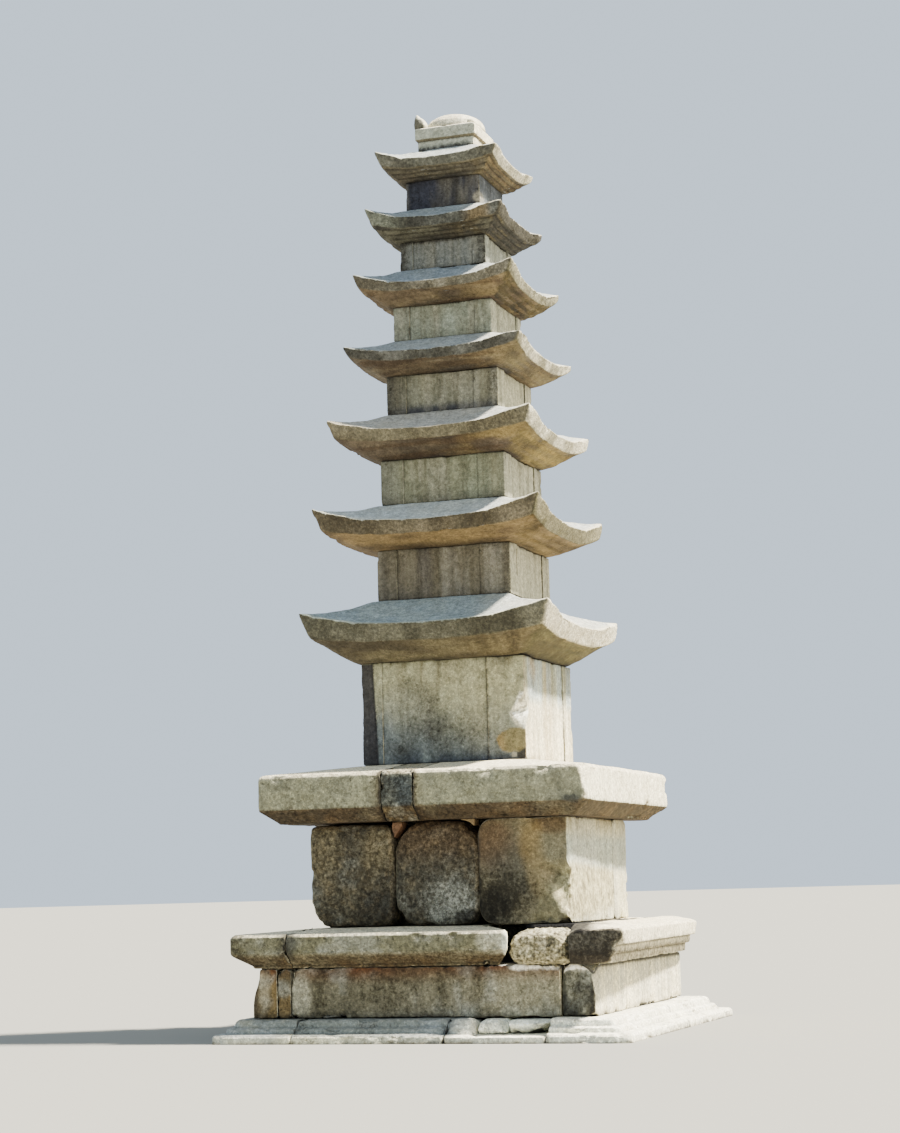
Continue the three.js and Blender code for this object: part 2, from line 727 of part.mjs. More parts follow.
// Inverted bowl: low worn dome
function dome(radius, height) {
  const rings = [];
  for (const lift of [0, 0.18, 0.42, 0.66, 0.86, 0.97, 1]) {
    const reach = lift === 1 ? 0.18 : (1 - (lift * 0.985) ** BOWL_FULLNESS) ** (1 / BOWL_FULLNESS);
    const ring = [];
    for (let i = 0; i < 24; i += 1) {
      const angle = (i / 24) * 2 * Math.PI;
      const x = radius * reach * Math.cos(angle);
      const y = radius * reach * Math.sin(angle);
      ring.push(new THREE.Vector3(x, y, height * lift));
    }
    rings.push(ring);
  }
  return loft(rings);
}
const bowl = addStone('inverted_bowl', dome(BOWL_RADIUS, BOWL_HEIGHT), PALE_GRANITE);
bowl.position.set(BASIN_SHIFT + 10, 0, BASIN_TOP);

// Upright horn on the left front corner of the lip, and the low worn stub of another
function horn(levels) {
  const rings = levels.map(([z, x, y, reach]) => {
    const ring = [];
    for (let i = 0; i < 8; i += 1) {
      const angle = (i / 8) * 2 * Math.PI;
      ring.push(new THREE.Vector3(
        x + reach * Math.cos(angle),
        y + reach * 0.9 * Math.sin(angle),
        z,
      ));
    }
    return ring;
  });
  return loft(rings);
}
addStone('corner_horn', horn([
  [BASIN_TOP, -208, -212, 32],
  [BASIN_TOP + 36, -210, -214, 36],
  [BASIN_TOP + 76, -216, -218, 30],
  [BASIN_TOP + 104, -226, -222, 18],
  [BASIN_TOP + 126, -234, -226, 6],
]), PALE_GRANITE);
addStone('corner_horn_stub', horn([
  [BASIN_TOP, 226, -212, 36],
  [BASIN_TOP + 26, 224, -210, 36],
  [BASIN_TOP + 44, 216, -206, 24],
]), PALE_GRANITE);

export default pagoda;
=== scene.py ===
"""Weathered look of the seven-storey stone pagoda: worn stones, stains, floor, light and camera."""

import json
import math
from collections import namedtuple

import bmesh
import bpy
import numpy as np
from mathutils import Matrix, Vector
from mathutils.bvhtree import BVHTree
from mathutils.kdtree import KDTree


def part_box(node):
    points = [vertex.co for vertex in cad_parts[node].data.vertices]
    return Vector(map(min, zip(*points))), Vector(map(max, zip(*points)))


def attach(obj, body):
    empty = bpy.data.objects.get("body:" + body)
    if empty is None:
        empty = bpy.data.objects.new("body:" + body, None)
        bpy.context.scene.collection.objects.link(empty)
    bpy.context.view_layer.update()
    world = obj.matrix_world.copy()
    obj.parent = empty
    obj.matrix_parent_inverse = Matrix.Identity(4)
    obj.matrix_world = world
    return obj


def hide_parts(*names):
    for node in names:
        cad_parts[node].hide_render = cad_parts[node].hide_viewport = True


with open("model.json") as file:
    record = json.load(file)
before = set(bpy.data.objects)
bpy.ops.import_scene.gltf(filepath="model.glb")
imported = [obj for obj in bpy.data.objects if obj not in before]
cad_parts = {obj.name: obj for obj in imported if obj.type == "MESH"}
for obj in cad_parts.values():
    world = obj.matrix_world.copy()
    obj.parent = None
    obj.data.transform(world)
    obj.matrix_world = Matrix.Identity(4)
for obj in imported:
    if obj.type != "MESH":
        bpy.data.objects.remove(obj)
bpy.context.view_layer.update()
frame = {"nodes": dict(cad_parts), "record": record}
COARSE = 1

FAR = 9.0  # metres, further than any edge of the pagoda from another
SAME_CORNER = 0.00002  # metres between doubled corners of a solid
SHARP = 0.3  # radians, the least fold of an edge that counts as sharp
EDGE_STEP = 0.012  # metres between the marks along a sharp edge
TOUCHING = 0.006  # metres between two faces that count as joined
ROUNDS = 9  # most rounds of splitting long edges
LONGEST = 1.45  # longest shown edge, as a share of a stone's spacing

# Noise

def lattice(i, j, k, seed):
    """A settled value from 0 to 1 for each whole-numbered place."""
    h = (i.astype(np.uint32) * np.uint32(374761393) + j.astype(np.uint32) * np.uint32(668265263)
         + k.astype(np.uint32) * np.uint32(2246822519) + np.uint32(seed * 7919 + 17))
    h = (h ^ (h >> np.uint32(13))) * np.uint32(1274126177)
    h = (h ^ (h >> np.uint32(16))) * np.uint32(2654435769)
    return ((h ^ (h >> np.uint32(15))) & np.uint32(0xFFFFFF)) / float(0xFFFFFF)


def noise(points, scale, seed, octaves=1):
    """Smooth noise from 0 to 1 at the points; the scale is in waves a metre."""
    total = np.zeros(len(points))
    weight = 0
    share = 1
    for octave in range(octaves):
        q = points * np.asarray(scale) * 2 ** octave + 31.7 * (octave + 1)
        base = np.floor(q).astype(np.int64)
        f = q - base
        f = f * f * (3 - 2 * f)
        value = np.zeros(len(points))
        for corner in np.ndindex(2, 2, 2):
            a, b, c = np.where(corner, f, 1 - f).T
            value += a * b * c * lattice(*(base + corner).T, seed + octave * 101)
        total += value * share
        weight += share
        share *= 0.55
    return total / weight


def step(low, high, value):
    """0 below the low value, 1 above the high one, and smooth between."""
    t = np.clip((value - low) / (high - low), 0, 1)
    return t * t * (3 - 2 * t)


def fall(low, high, value):
    return 1 - step(low, high, value)


def bell(distance, width):
    return np.exp(-(distance / width) ** 2)


# Meshes of the stones

def all_but(node):
    """Search tree of every CAD solid but this one."""
    corners, faces = [], []
    for name, solid in frame["nodes"].items():
        if name != node:
            start = len(corners)
            corners += [v.co.copy() for v in solid.data.vertices]
            faces += [[start + i for i in face.vertices] for face in solid.data.polygons]
    return BVHTree.FromPolygons(corners, faces)


def sharp_points(bm, convex, wanted):
    """Evenly spaced places along the solid's sharp edges."""
    found = []
    for edge in bm.edges:
        if len(edge.link_faces) != 2 or edge.calc_face_angle(0) < SHARP or edge.is_convex != convex:
            continue
        a, b = (v.co for v in edge.verts)
        if wanted((a + b) / 2):
            count = max(1, int((b - a).length / EDGE_STEP))
            found += [a.lerp(b, i / count) for i in range(count + 1)]
    return found


def distances(marks, points):
    """How far each point is from the nearest of the marks."""
    marks = marks or [(1e3, 1e3, 1e3)]
    tree = KDTree(len(marks))
    for i, place in enumerate(marks):
        tree.insert(place, i)
    tree.balance()
    return np.array([tree.find(p)[2] for p in points])


def cut_in_grid(bm, size):
    """Cuts the faces along evenly spaced planes, so that no triangle stays long and thin."""
    co = np.array([v.co for v in bm.verts])
    low, high = co.min(0), co.max(0)
    for axis in range(3):
        count = int((high[axis] - low[axis]) / size)
        normal = Vector([float(axis == i) for i in range(3)])
        for i in range(1, count + 1):
            at = low[axis] + (high[axis] - low[axis]) * i / (count + 1)
            parts = bm.verts[:] + bm.edges[:] + bm.faces[:]
            bmesh.ops.bisect_plane(bm, geom=parts, dist=1e-6, plane_co=normal * at, plane_no=normal)
    bmesh.ops.triangulate(bm, faces=bm.faces[:])


def face_normals(verts, tris):
    a, b, c = verts[tris[:, 0]], verts[tris[:, 1]], verts[tris[:, 2]]
    return np.cross(b - a, c - a)


def unit(vectors):
    return vectors / np.maximum(np.linalg.norm(vectors, axis=1, keepdims=True), 1e-12)


def edges_of(tris, count):
    """The two ends of each edge, and the edge of each triangle's sides."""
    pairs = np.sort(tris[:, [[0, 1], [1, 2], [2, 0]]].reshape(-1, 2), axis=1)
    keys, which = np.unique(pairs[:, 0] * count + pairs[:, 1], return_inverse=True)
    return keys // count, keys % count, which


def in_joints(verts, tris, others):
    """Which triangles lie wholly against another stone or on the ground."""
    normals = unit(face_normals(verts, tris))
    corners = verts[tris]
    centres = corners.mean(1)
    hidden = (normals[:, 2] < -0.9) & (centres[:, 2] < 0.002)

    def touches(place, normal):
        found, facing, _, _ = others.find_nearest(Vector(place), TOUCHING)
        return found is not None and facing.dot(Vector(normal)) <= -0.7

    for i in np.flatnonzero(~hidden):
        places = [centres[i]] + [centres[i] * 0.1 + corner * 0.9 for corner in corners[i]]
        hidden[i] = all(touches(place, normals[i]) for place in places)
    return hidden


def split_triangles(verts, tris, hidden, cuts):
    """Cuts each triangle at the new points on its sides; a side without one has -1."""
    number = (cuts >= 0).sum(1)
    parts, flags = [tris[number == 0]], [hidden[number == 0]]

    def add(which, *triangles):
        parts.extend(np.stack(corners, 1) for corners in triangles)
        flags.extend([hidden[which]] * len(triangles))

    def turned(which, first):
        """Corners and cuts of the triangles, turned so that the side comes first."""
        turn = (first[:, None] + np.arange(3)) % 3
        return [np.take_along_axis(values[which], turn, 1).T for values in (tris, cuts)]

    one = number == 1
    (a, b, c), (p, _, _) = turned(one, np.argmax(cuts[one] >= 0, axis=1))
    add(one, (a, p, c), (p, b, c))

    two = number == 2
    (a, b, c), (p, q, _) = turned(two, np.argmax(cuts[two] < 0, axis=1) + 1)
    short = np.linalg.norm(verts[a] - verts[q], axis=1) < np.linalg.norm(verts[p] - verts[c], axis=1)
    add(two, (p, b, q), (a, p, np.where(short, q, c)), (np.where(short, a, p), q, c))

    three = number == 3
    (a, b, c), (p, q, r) = tris[three].T, cuts[three].T
    add(three, (a, p, r), (p, b, q), (r, q, c), (p, q, r))
    return np.vstack(parts), np.concatenate(flags)


def refine(verts, tris, hidden, marks, spacing):
    """Splits the edges that are too long where they lie: finer near the marks, coarse where hidden."""
    plain = spacing * LONGEST * COARSE
    fine, coarse = plain / 2, spacing * 6
    for _ in range(ROUNDS):
        a, b, which = edges_of(tris, len(verts))
        middle = (verts[a] + verts[b]) / 2
        length = np.linalg.norm(verts[a] - verts[b], axis=1)
        shown = np.zeros(len(a), bool)
        shown[which[np.repeat(~hidden, 3)]] = True
        wanted = np.where(shown, plain, coarse)
        ask = shown & (length > fine)
        away = distances(marks, middle[ask])
        wanted[ask] = fine + (plain - fine) * np.clip((away - 0.015) / 0.04, 0, 1)
        split = length > wanted
        if not split.any():
            break
        new = np.full(len(a), -1)
        new[split] = len(verts) + np.arange(split.sum())
        verts = np.vstack([verts, middle[split]])
        tris, hidden = split_triangles(verts, tris, hidden, new[which].reshape(-1, 3))
    return verts, tris, hidden


class Stone:
    """A stone's fine mesh as arrays, with what the weathering needs to know about each point."""

    def __init__(self, node, spacing, wanted=lambda place: True, extra=()):
        self.node = node
        self.seed = sum(ord(c) * (i + 3) for i, c in enumerate(node)) % 9973
        bm = bmesh.new()
        bm.from_mesh(frame["nodes"][node].data)
        bmesh.ops.remove_doubles(bm, verts=bm.verts, dist=SAME_CORNER)
        convex, concave = (sharp_points(bm, kind, wanted) for kind in (True, False))
        cut_in_grid(bm, spacing * 4)
        bm.verts.index_update()
        verts = np.array([v.co for v in bm.verts], float)
        tris = np.array([[v.index for v in f.verts] for f in bm.faces], np.int64)
        bm.free()
        hidden = in_joints(verts, tris, all_but(node))
        verts, tris, hidden = refine(verts, tris, hidden, convex + concave + list(extra), spacing)
        self.co, self.rest, self.tris = verts, verts.copy(), tris
        self.to_edge, self.to_fold = distances(convex, verts), distances(concave, verts)
        self.a, self.b, _ = edges_of(tris, len(verts))
        self.degree = self.gather(None, None)
        self.joint = np.zeros(len(verts))
        self.joint[tris[hidden].ravel()] = 1
        self.buried = np.ones(len(verts), bool)
        self.buried[tris[~hidden].ravel()] = False
        self.normals = self.flat_normals = self.point_normals()

    def point_normals(self):
        n = face_normals(self.co, self.tris)
        total = np.zeros_like(self.co)
        for corner in range(3):
            for axis in range(3):
                total[:, axis] += np.bincount(self.tris[:, corner], n[:, axis], len(self.co))
        return unit(total)

    def gather(self, to_a, to_b):
        """What the edges bring to their ends, added up point by point; without a value each brings 1."""
        count = len(self.co)
        return np.bincount(self.a, to_a, count) + np.bincount(self.b, to_b, count)

    def spread(self, value):
        """Mean of the neighbours' values."""
        return self.gather(value[self.b], value[self.a]) / self.degree

    def pull(self, reach):
        """Mean way to the neighbours, none counted further than the reach."""
        way = self.co[self.b] - self.co[self.a]
        way *= np.minimum(1, reach / np.maximum(np.linalg.norm(way, axis=1, keepdims=True), 1e-9))
        return np.column_stack([self.gather(w, -w) for w in way.T]) / self.degree[:, None]

    def smooth(self, passes, weight, reach=0.02):
        for _ in range(passes):
            self.co += self.pull(reach) * (0.55 * weight)[:, None]
        self.normals = self.point_normals()

    def sink(self, depth):
        """Moves the points inward by their depth in metres."""
        self.co -= self.normals * depth[:, None]

    def joint_shade_and_grime(self):
        """How near the points are to a joint, from 0 to 1."""
        value = self.joint.copy()
        for _ in range(3):
            reached = np.zeros(len(value))
            np.maximum.at(reached, self.a, value[self.b])
            np.maximum.at(reached, self.b, value[self.a])
            value = np.maximum(value, reached * 0.62)
        return value

    def shares(self):
        """How far across the stone the points lie, from -1 to 1, and how far up, from 0 to 1."""
        low, high = self.rest.min(0), self.rest.max(0)
        share = (self.rest - low) / (high - low)
        return 2 * share[:, 0] - 1, share[:, 2]


def weather(stone, rounding, wobble, rough, chips, wobble_scale=2.6, rough_scale=13, gape=0):
    """Rounds the edges, makes the faces uneven and breaks chips off the arrises."""
    p, seed = stone.rest, stone.seed
    edge = bell(stone.to_edge, 0.05)
    worn = 0.35 + 0.65 * step(0.35, 0.65, noise(p, 3.1, seed + 1, 2))
    keep_folds = step(0.012, 0.045, stone.to_fold)
    before = stone.co.copy()
    stone.smooth(rounding, worn * keep_folds)
    lost = ((before - stone.co) * stone.normals).sum(1)
    for _ in range(2):
        lost = 0.5 * (lost + stone.spread(lost))
    stone.sink(-0.8 * lost)
    break_off = step(0.56, 0.74, noise(p, 7.5, seed + 4, 3)) * bell(stone.to_edge, 0.04)
    nick = step(0.6, 0.8, noise(p, 24, seed + 5, 2)) * bell(stone.to_edge, 0.02)
    depth = wobble * (noise(p, wobble_scale, seed + 2, 2) - 0.5)
    depth += rough * (noise(p, rough_scale, seed + 3, 3) - 0.5)
    depth += chips * (break_off + 0.3 * nick)
    depth *= np.where(stone.buried, 0.3, 1)
    stone.sink(depth + gape * stone.joint * edge)
    stone.smooth(1, 0.5 * edge * keep_folds)
    stone.co[p[:, 2] < 0.001, 2] = 0
    stone.normals = stone.point_normals()


# Colours, as they would be named on a display

def tone(red, green, blue):
    c = np.array([red, green, blue]) / 255
    return np.where(c <= 0.04045, c / 12.92, ((c + 0.055) / 1.055) ** 2.4)


CREAM = tone(214, 203, 172)
BLEACHED = tone(226, 217, 184)
SUNLIT_CREAM = tone(250, 246, 228)
PALE_GREY = tone(186, 182, 164)
SHADE_BLUE_GREY = tone(160, 163, 158)
BEIGE = tone(178, 167, 136)
OLIVE = tone(142, 134, 106)
OLIVE_DARK = tone(98, 90, 66)
OCHRE = tone(176, 141, 80)
OCHRE_DARK = tone(124, 96, 54)
BROWN = tone(112, 88, 60)
BLUE_BLACK = tone(62, 64, 70)
BLACK = tone(40, 37, 33)
CHARCOAL = tone(78, 76, 68)
RUBBLE = tone(150, 140, 116)


class Paint:
    """Colour and marks of a stone's points, built up layer on layer."""

    def __init__(self, stone, front, side=None, top=None, under=None, left=None, back=None):
        self.stone = stone
        self.p, self.n, self.seed = stone.co, stone.normals, stone.seed
        self.face = stone.rest[:, 1].min()
        self.front, self.right = self.facing(1, -1), self.facing(0, 1)
        count = len(self.p)
        self.tint = np.tile(front, (count, 1))
        self.streaks, self.dark, self.pale = (np.full(count, share) for share in (0.25, 0.15, 0.15))
        for colour, axis, sign, low, high in (
                (left, 0, -1, 0.4, 0.8), (back, 1, 1, 0.4, 0.8), (side, 0, 1, 0.35, 0.75),
                (top, 2, 1, 0.25, 0.7), (under, 2, -1, 0.2, 0.5)):
            if colour is not None:
                self.lay(colour, self.facing(axis, sign, low, high))

    def facing(self, axis, sign, low=0.4, high=0.8):
        return step(low, high, sign * self.n[:, axis])

    def lay(self, colour, amount, *clouds):
        """Covers the tint, by one amount for all points or one for each, in clouds where these are given."""
        if clouds:
            amount = amount * self.clouds(*clouds)
        self.tint += (colour - self.tint) * np.clip(amount, 0, 1).reshape(-1, 1)

    def shade(self, factor):
        self.tint *= factor[:, None]

    def scale(self, factors, amount):
        self.tint *= 1 + amount[:, None] * (np.array(factors) - 1)

    def marks(self, streaks, dark, pale):
        """Sets how much rain, dark lichen and pale lichen marks the stone."""
        self.streaks[:], self.dark[:], self.pale[:] = streaks, dark, pale

    def inside(self, outline, soft=0.006):
        """How far a point lies within the x, z outline: 1 inside, 0 outside."""
        x, _, z = self.p.T
        wobble = 0.012 * (noise(self.p, 40, self.seed + 50, 2) - 0.5)
        least = np.full(len(x), FAR)
        odd = np.zeros(len(x), bool)
        for (ax, az), (bx, bz) in zip(outline, outline[1:] + outline[:1]):
            wide, tall = bx - ax, bz - az
            t = np.clip(((x - ax) * wide + (z - az) * tall) / (wide ** 2 + tall ** 2), 0, 1)
            least = np.minimum(least, np.hypot(x - ax - t * wide, z - az - t * tall))
            crossed = (az > z) != (bz > z)
            odd ^= crossed & (x < ax + (z - az) * wide / (tall or 1e-9))
        return step(-soft, soft, np.where(odd, least, -least) + wobble)

    def clouds(self, scale, seed, low=0.4, high=0.62, octaves=3):
        return step(low, high, noise(self.p, scale, self.seed + seed, octaves))

    def stain(self, colour, where, cover, darker):
        """Lays a colour and brings dark lichen to the same place."""
        self.lay(colour, cover * where)
        self.dark += darker * where

    def spot(self, centre, radius, soft=0.35, ragged=0.35):
        """Ragged patch round a place: 1 inside, 0 outside."""
        away = np.linalg.norm((self.p - np.array(centre)) / np.array(radius), axis=1)
        away += ragged * (noise(self.p, 14, self.seed + 40, 3) - 0.5) * 2
        return fall(1 - soft, 1 + soft, away)

    def dab(self, x, z, wide, high, *edge, deep=0.2):
        """Ragged patch on the stone's front."""
        return self.spot((x, self.face, z), (wide, deep, high), *edge)

    def dabs(self, rows, where=1, deep=0.2):
        """Lays patches on the front: colour, amount, x, z, half width, half height and edge."""
        for colour, amount, *place in rows:
            self.lay(colour, amount * where * self.dab(*place, deep=deep))

    def finish(self, crease=1, shaded=(0.72, 0.78, 0.84)):
        """Painted shade on the sides turned from the sun, dark joints that also hold painted shade, painted
        shade in hollows and creases, paler arrises.
        """
        stone = self.stone
        # Painted shade: sides facing neither the sun nor the sky get their tint scaled by the shaded factors.
        sunward_faces = np.maximum(self.facing(0, 1, 0.35, 0.75), self.facing(2, 1, 0.25, 0.7))
        self.scale(shaded, 1 - sunward_faces)
        # Dark joints: grime, and painted shade where the gaps between stones lie in shadow.
        self.lay(0.5 * BLACK, 0.85 * stone.joint_shade_and_grime() ** 1.7 * (0.45 + 0.55 * self.clouds(5, 31)))
        # Painted shade in hollows and along concave folds; worn convex arrises paler.
        bend = (stone.pull(0.02) * stone.normals).sum(1) / 0.006
        self.shade(1 - 0.45 * crease * step(0.05, 0.9, bend))
        self.shade(1 + 0.16 * step(0.1, 0.8, -bend))
        self.shade(1 - 0.6 * crease * bell(stone.to_fold, 0.007))
        self.tint = np.clip(self.tint, 0.004, 0.9)
        return self


def placed(name, data):
    """A new object in the scene."""
    made = bpy.data.objects.new(name, data)
    bpy.context.scene.collection.objects.link(made)
    return made


def build(paint, material):
    """Makes the stone's Blender object and lets it stand for its CAD node."""
    stone = paint.stone
    name = "worn_" + stone.node
    mesh = bpy.data.meshes.new(name)
    mesh.from_pydata(stone.co.tolist(), [], stone.tris.tolist())
    mesh.polygons.foreach_set("use_smooth", np.ones(len(mesh.polygons), bool))
    marks = np.clip(np.column_stack([paint.streaks, paint.dark, paint.pale]), 0, 1)
    for layer, values in (("tint", paint.tint), ("marks", marks)):
        attribute = mesh.color_attributes.new(layer, "FLOAT_COLOR", "POINT")
        attribute.data.foreach_set("color", np.insert(values, 3, 1, axis=1).ravel())
    mesh.materials.append(material)
    mesh.update()
    piece = placed(name, mesh)
    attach(piece, "root")
    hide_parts(stone.node)


# Materials

def granite(name, grain, pits, bump, mica, mottle):
    """Granite coloured by the stone's own tint, with crystals, clouds, rain streaks, lichen and pits."""
    material = bpy.data.materials.new(name)
    material.use_nodes = True
    tree = material.node_tree
    tree.nodes.clear()

    def node(kind, inputs=None, **settings):
        made = tree.nodes.new("ShaderNode" + kind)
        for key, value in settings.items():
            setattr(made, key, value)
        for key, value in (inputs or {}).items():
            if isinstance(value, bpy.types.NodeSocket):
                tree.links.new(value, made.inputs[key])
            else:
                made.inputs[key].default_value = value
        return made

    def calculate(operation, a, b, kind="Math"):
        return node(kind, {0: a, 1: b}, operation=operation).outputs[0]

    def times(a, b):
        return calculate("MULTIPLY", a, b)

    def ramp(value, low, high, to_low, to_high):
        return node("MapRange", {"Value": value, "From Min": low, "From Max": high,
                                 "To Min": to_low, "To Max": to_high}).outputs[0]

    def rgb(red, green, blue):
        return node("CombineColor", {"Red": red, "Green": green, "Blue": blue}).outputs[0]

    def mix(factor, a, b, kind="MULTIPLY"):
        return node("Mix", {0: factor, 6: a, 7: b}, data_type="RGBA", blend_type=kind).outputs[2]

    def noise_node(vector, scale, detail, rough):
        made = node("TexNoise", {"Vector": vector, "Scale": scale, "Detail": detail, "Roughness": rough})
        return made.outputs["Fac"]

    def dots(vector, scale, near, far, channel, least):
        """Round dots in some cells of a mosaic."""
        cells = node("TexVoronoi", {"Vector": vector, "Scale": scale})
        chosen = node("SeparateColor", {"Color": cells.outputs["Color"]}).outputs[channel]
        dot = ramp(cells.outputs["Distance"], near, far, 1, 0)
        return times(dot, calculate("GREATER_THAN", chosen, least))

    def lichen(colour, growth, share, gain, low, high, full, most, factors):
        """Lichen that spreads and covers more where its share is greater."""
        grown = ramp(calculate("ADD", growth, times(share, gain)), low, high, 0, 1)
        return mix(times(grown, ramp(share, 0, full, 0, most)), colour, factors)

    place = node("TexCoord").outputs["Object"]
    drift = node("TexNoise", {"Vector": place, "Scale": 7, "Detail": 3}).outputs["Color"]
    shift = calculate("MULTIPLY", drift, (0.05, 0.05, 0.05), "VectorMath")
    bent = calculate("ADD", place, shift, "VectorMath")
    tint = node("Attribute", attribute_name="tint").outputs["Color"]
    marks = node("SeparateColor", {"Color": node("Attribute", attribute_name="marks").outputs["Color"]})
    streak_share, dark_share, pale_share = marks.outputs

    clouds = noise_node(bent, 9, 8, 0.62)
    crystals = noise_node(place, 120, 5, 0.75)
    fine = noise_node(place, 42, 6, 0.7)
    patches = noise_node(bent, 21, 5, 0.7)
    ranges = ((0.84, 1.14), (0.83, 1.14), (0.80, 1.16))
    colour = mix(1, tint, rgb(*(ramp(clouds, 0.3, 0.7, low, high) for low, high in ranges)))
    value = times(ramp(crystals, 0.32, 0.68, 1 - 0.26 * grain, 1 + 0.22 * grain),
                  ramp(fine, 0.36, 0.64, 1 - 0.24 * grain, 1 + 0.26 * grain))
    value = times(value, ramp(patches, 0.4, 0.6, 1 - mottle, 1 + 1.1 * mottle))
    colour = mix(1, colour, rgb(value, value, value))
    specks = dots(place, 150, 0.2, 0.42, 0, 0.66)
    colour = mix(times(specks, mica), colour, (0.045, 0.042, 0.036, 1), "MIX")

    runs = noise_node(calculate("MULTIPLY", bent, (15, 15, 0.8), "VectorMath"), 1, 6, 0.65)
    for low, high, most, factors in (
            (0.47, 0.68, 1, (0.36, 0.35, 0.33, 1)), (0.44, 0.3, 0.5, (1.6, 1.58, 1.5, 1))):
        colour = mix(times(ramp(runs, low, high, 0, most), streak_share), colour, factors)
    growth = noise_node(bent, 30, 10, 0.76)
    colour = lichen(colour, growth, dark_share, 0.3, 0.60, 0.76, 0.25, 0.9, (0.24, 0.22, 0.19, 1))
    crust = noise_node(calculate("ADD", bent, (3.3, 1.7, 5.9), "VectorMath"), 46, 9, 0.72)
    colour = lichen(colour, crust, pale_share, 0.26, 0.62, 0.74, 0.3, 0.7, (1.9, 1.9, 1.85, 1))
    hole = dots(bent, 38, 0.08, 0.34, 1, 0.55)
    colour = mix(times(hole, 0.35 * pits), colour, (0.4, 0.37, 0.32, 1))

    rough = ramp(calculate("ADD", fine, crystals), 0.7, 1.3, 0.97, 0.82)
    normal = {}
    for height, strength, distance in (
            (clouds, bump, 0.014), (fine, 0.9 * bump, 0.006), (crystals, 0.6 * bump, 0.002),
            (hole, 0.7 * pits, 0.004)):
        relief = node("Bump", {"Height": height, "Strength": strength, "Distance": distance, **normal},
                      invert=height is hole)
        normal = {"Normal": relief.outputs[0]}
    shader = node("BsdfPrincipled", {
        "Base Color": colour, "Roughness": rough, "Specular IOR Level": 0.25, **normal})
    node("OutputMaterial", {0: shader.outputs[0]})
    return material


# Each slot's material: name, grain, pits, bump, mica and mottle
GRANITES = {
    "granite_plinth": ("weathered_plinth_granite", 0.9, 1, 1, 0.35, 0.12),
    "granite_pale": ("bleached_granite", 0.9, 0.8, 0.8, 0.35, 0.1),
    "granite_grey": ("grey_granite", 1.15, 0.9, 0.9, 0.45, 0.14),
    "granite_ochre": ("ochre_stained_granite", 1.1, 1.1, 1, 0.4, 0.15),
    "granite_dark": ("lichen_blackened_granite", 1.6, 1.2, 1.2, 0.5, 0.2),
    "rubble": ("rubble_and_lime", 1.1, 1.3, 1.5, 0.4, 0.2),
}
materials = {slot: granite(*settings) for slot, settings in GRANITES.items()}
storey_dark = granite("streaked_dark_granite", 1, 0.9, 0.9, 0.4, 0.1)
slots = {row["node"]: row["material_slot"] for row in frame["record"]["subparts"]}


# Plinth

def plinth_stone(node):
    loose, on_right = "loose" in node, "right" in node
    stone = Stone(node, 0.02 if loose else 0.04)
    if loose:
        _, y, z = stone.rest.T
        across, up = stone.shares()
        near = np.ptp(z) * fall(y.min() + 0.05, y.min() + 0.2, y)
        if on_right:
            stone.co[:, 2] += near * step(0, 1, across) * (0.6 - 0.75 * up)
        else:
            stone.co[:, 2] -= near * step(0.3, 1, across) * 0.75 * up
    weather(stone, 2 if loose else 4, 0.007, 0.006 if loose else 0.003, 0.02)
    paint = Paint(stone, BLEACHED, side=BLEACHED, top=BLEACHED, left=PALE_GREY, back=CREAM)
    x, _, z = stone.co.T
    # Painted shadow of the tower, blue-grey, over the plinth's western part above the lowest step, and
    # painted sunlight on the rest.
    in_tower_shadow = fall(0.3, 0.5, x + 0.5 * (noise(stone.co, 3, 77, 2) - 0.5))
    paint.lay(tone(101, 108, 107), 0.85 * in_tower_shadow * step(0.045, 0.06, z))
    paint.lay(SHADE_BLUE_GREY, 0.2 + 0.3 * in_tower_shadow, 2.2, 1)
    paint.lay(OLIVE, 0.2 + 0.25 * in_tower_shadow, 4.5, 2, 0.52, 0.7)
    paint.lay(SUNLIT_CREAM, 0.45 * (1 - in_tower_shadow))
    paint.lay(BROWN, 0.45 * fall(0, 0.03, z), 9, 3)
    paint.marks(0.15, 0.12 + 0.3 * paint.clouds(3, 4, 0.5, 0.7), 0.4)
    if loose:
        # Painted sunlight on the loose stones, which stand in the caps' shadow here.
        paint.lay(tone(255, 250, 226), 0.85)
        if on_right:
            # Painted shade on the lower front of the right loose stone.
            paint.lay(OLIVE, 0.6 * paint.facing(1, -1, 0.2, 0.6) * fall(0.09, 0.12, z))
    return paint.finish(1 if loose else 0.45, shaded=(0.9, 0.97, 1.03))


# Lower base and its cap

BASE_TOP = 0.552
BASE_HALF = 1.37
SIDES = ("left", "front", "right")


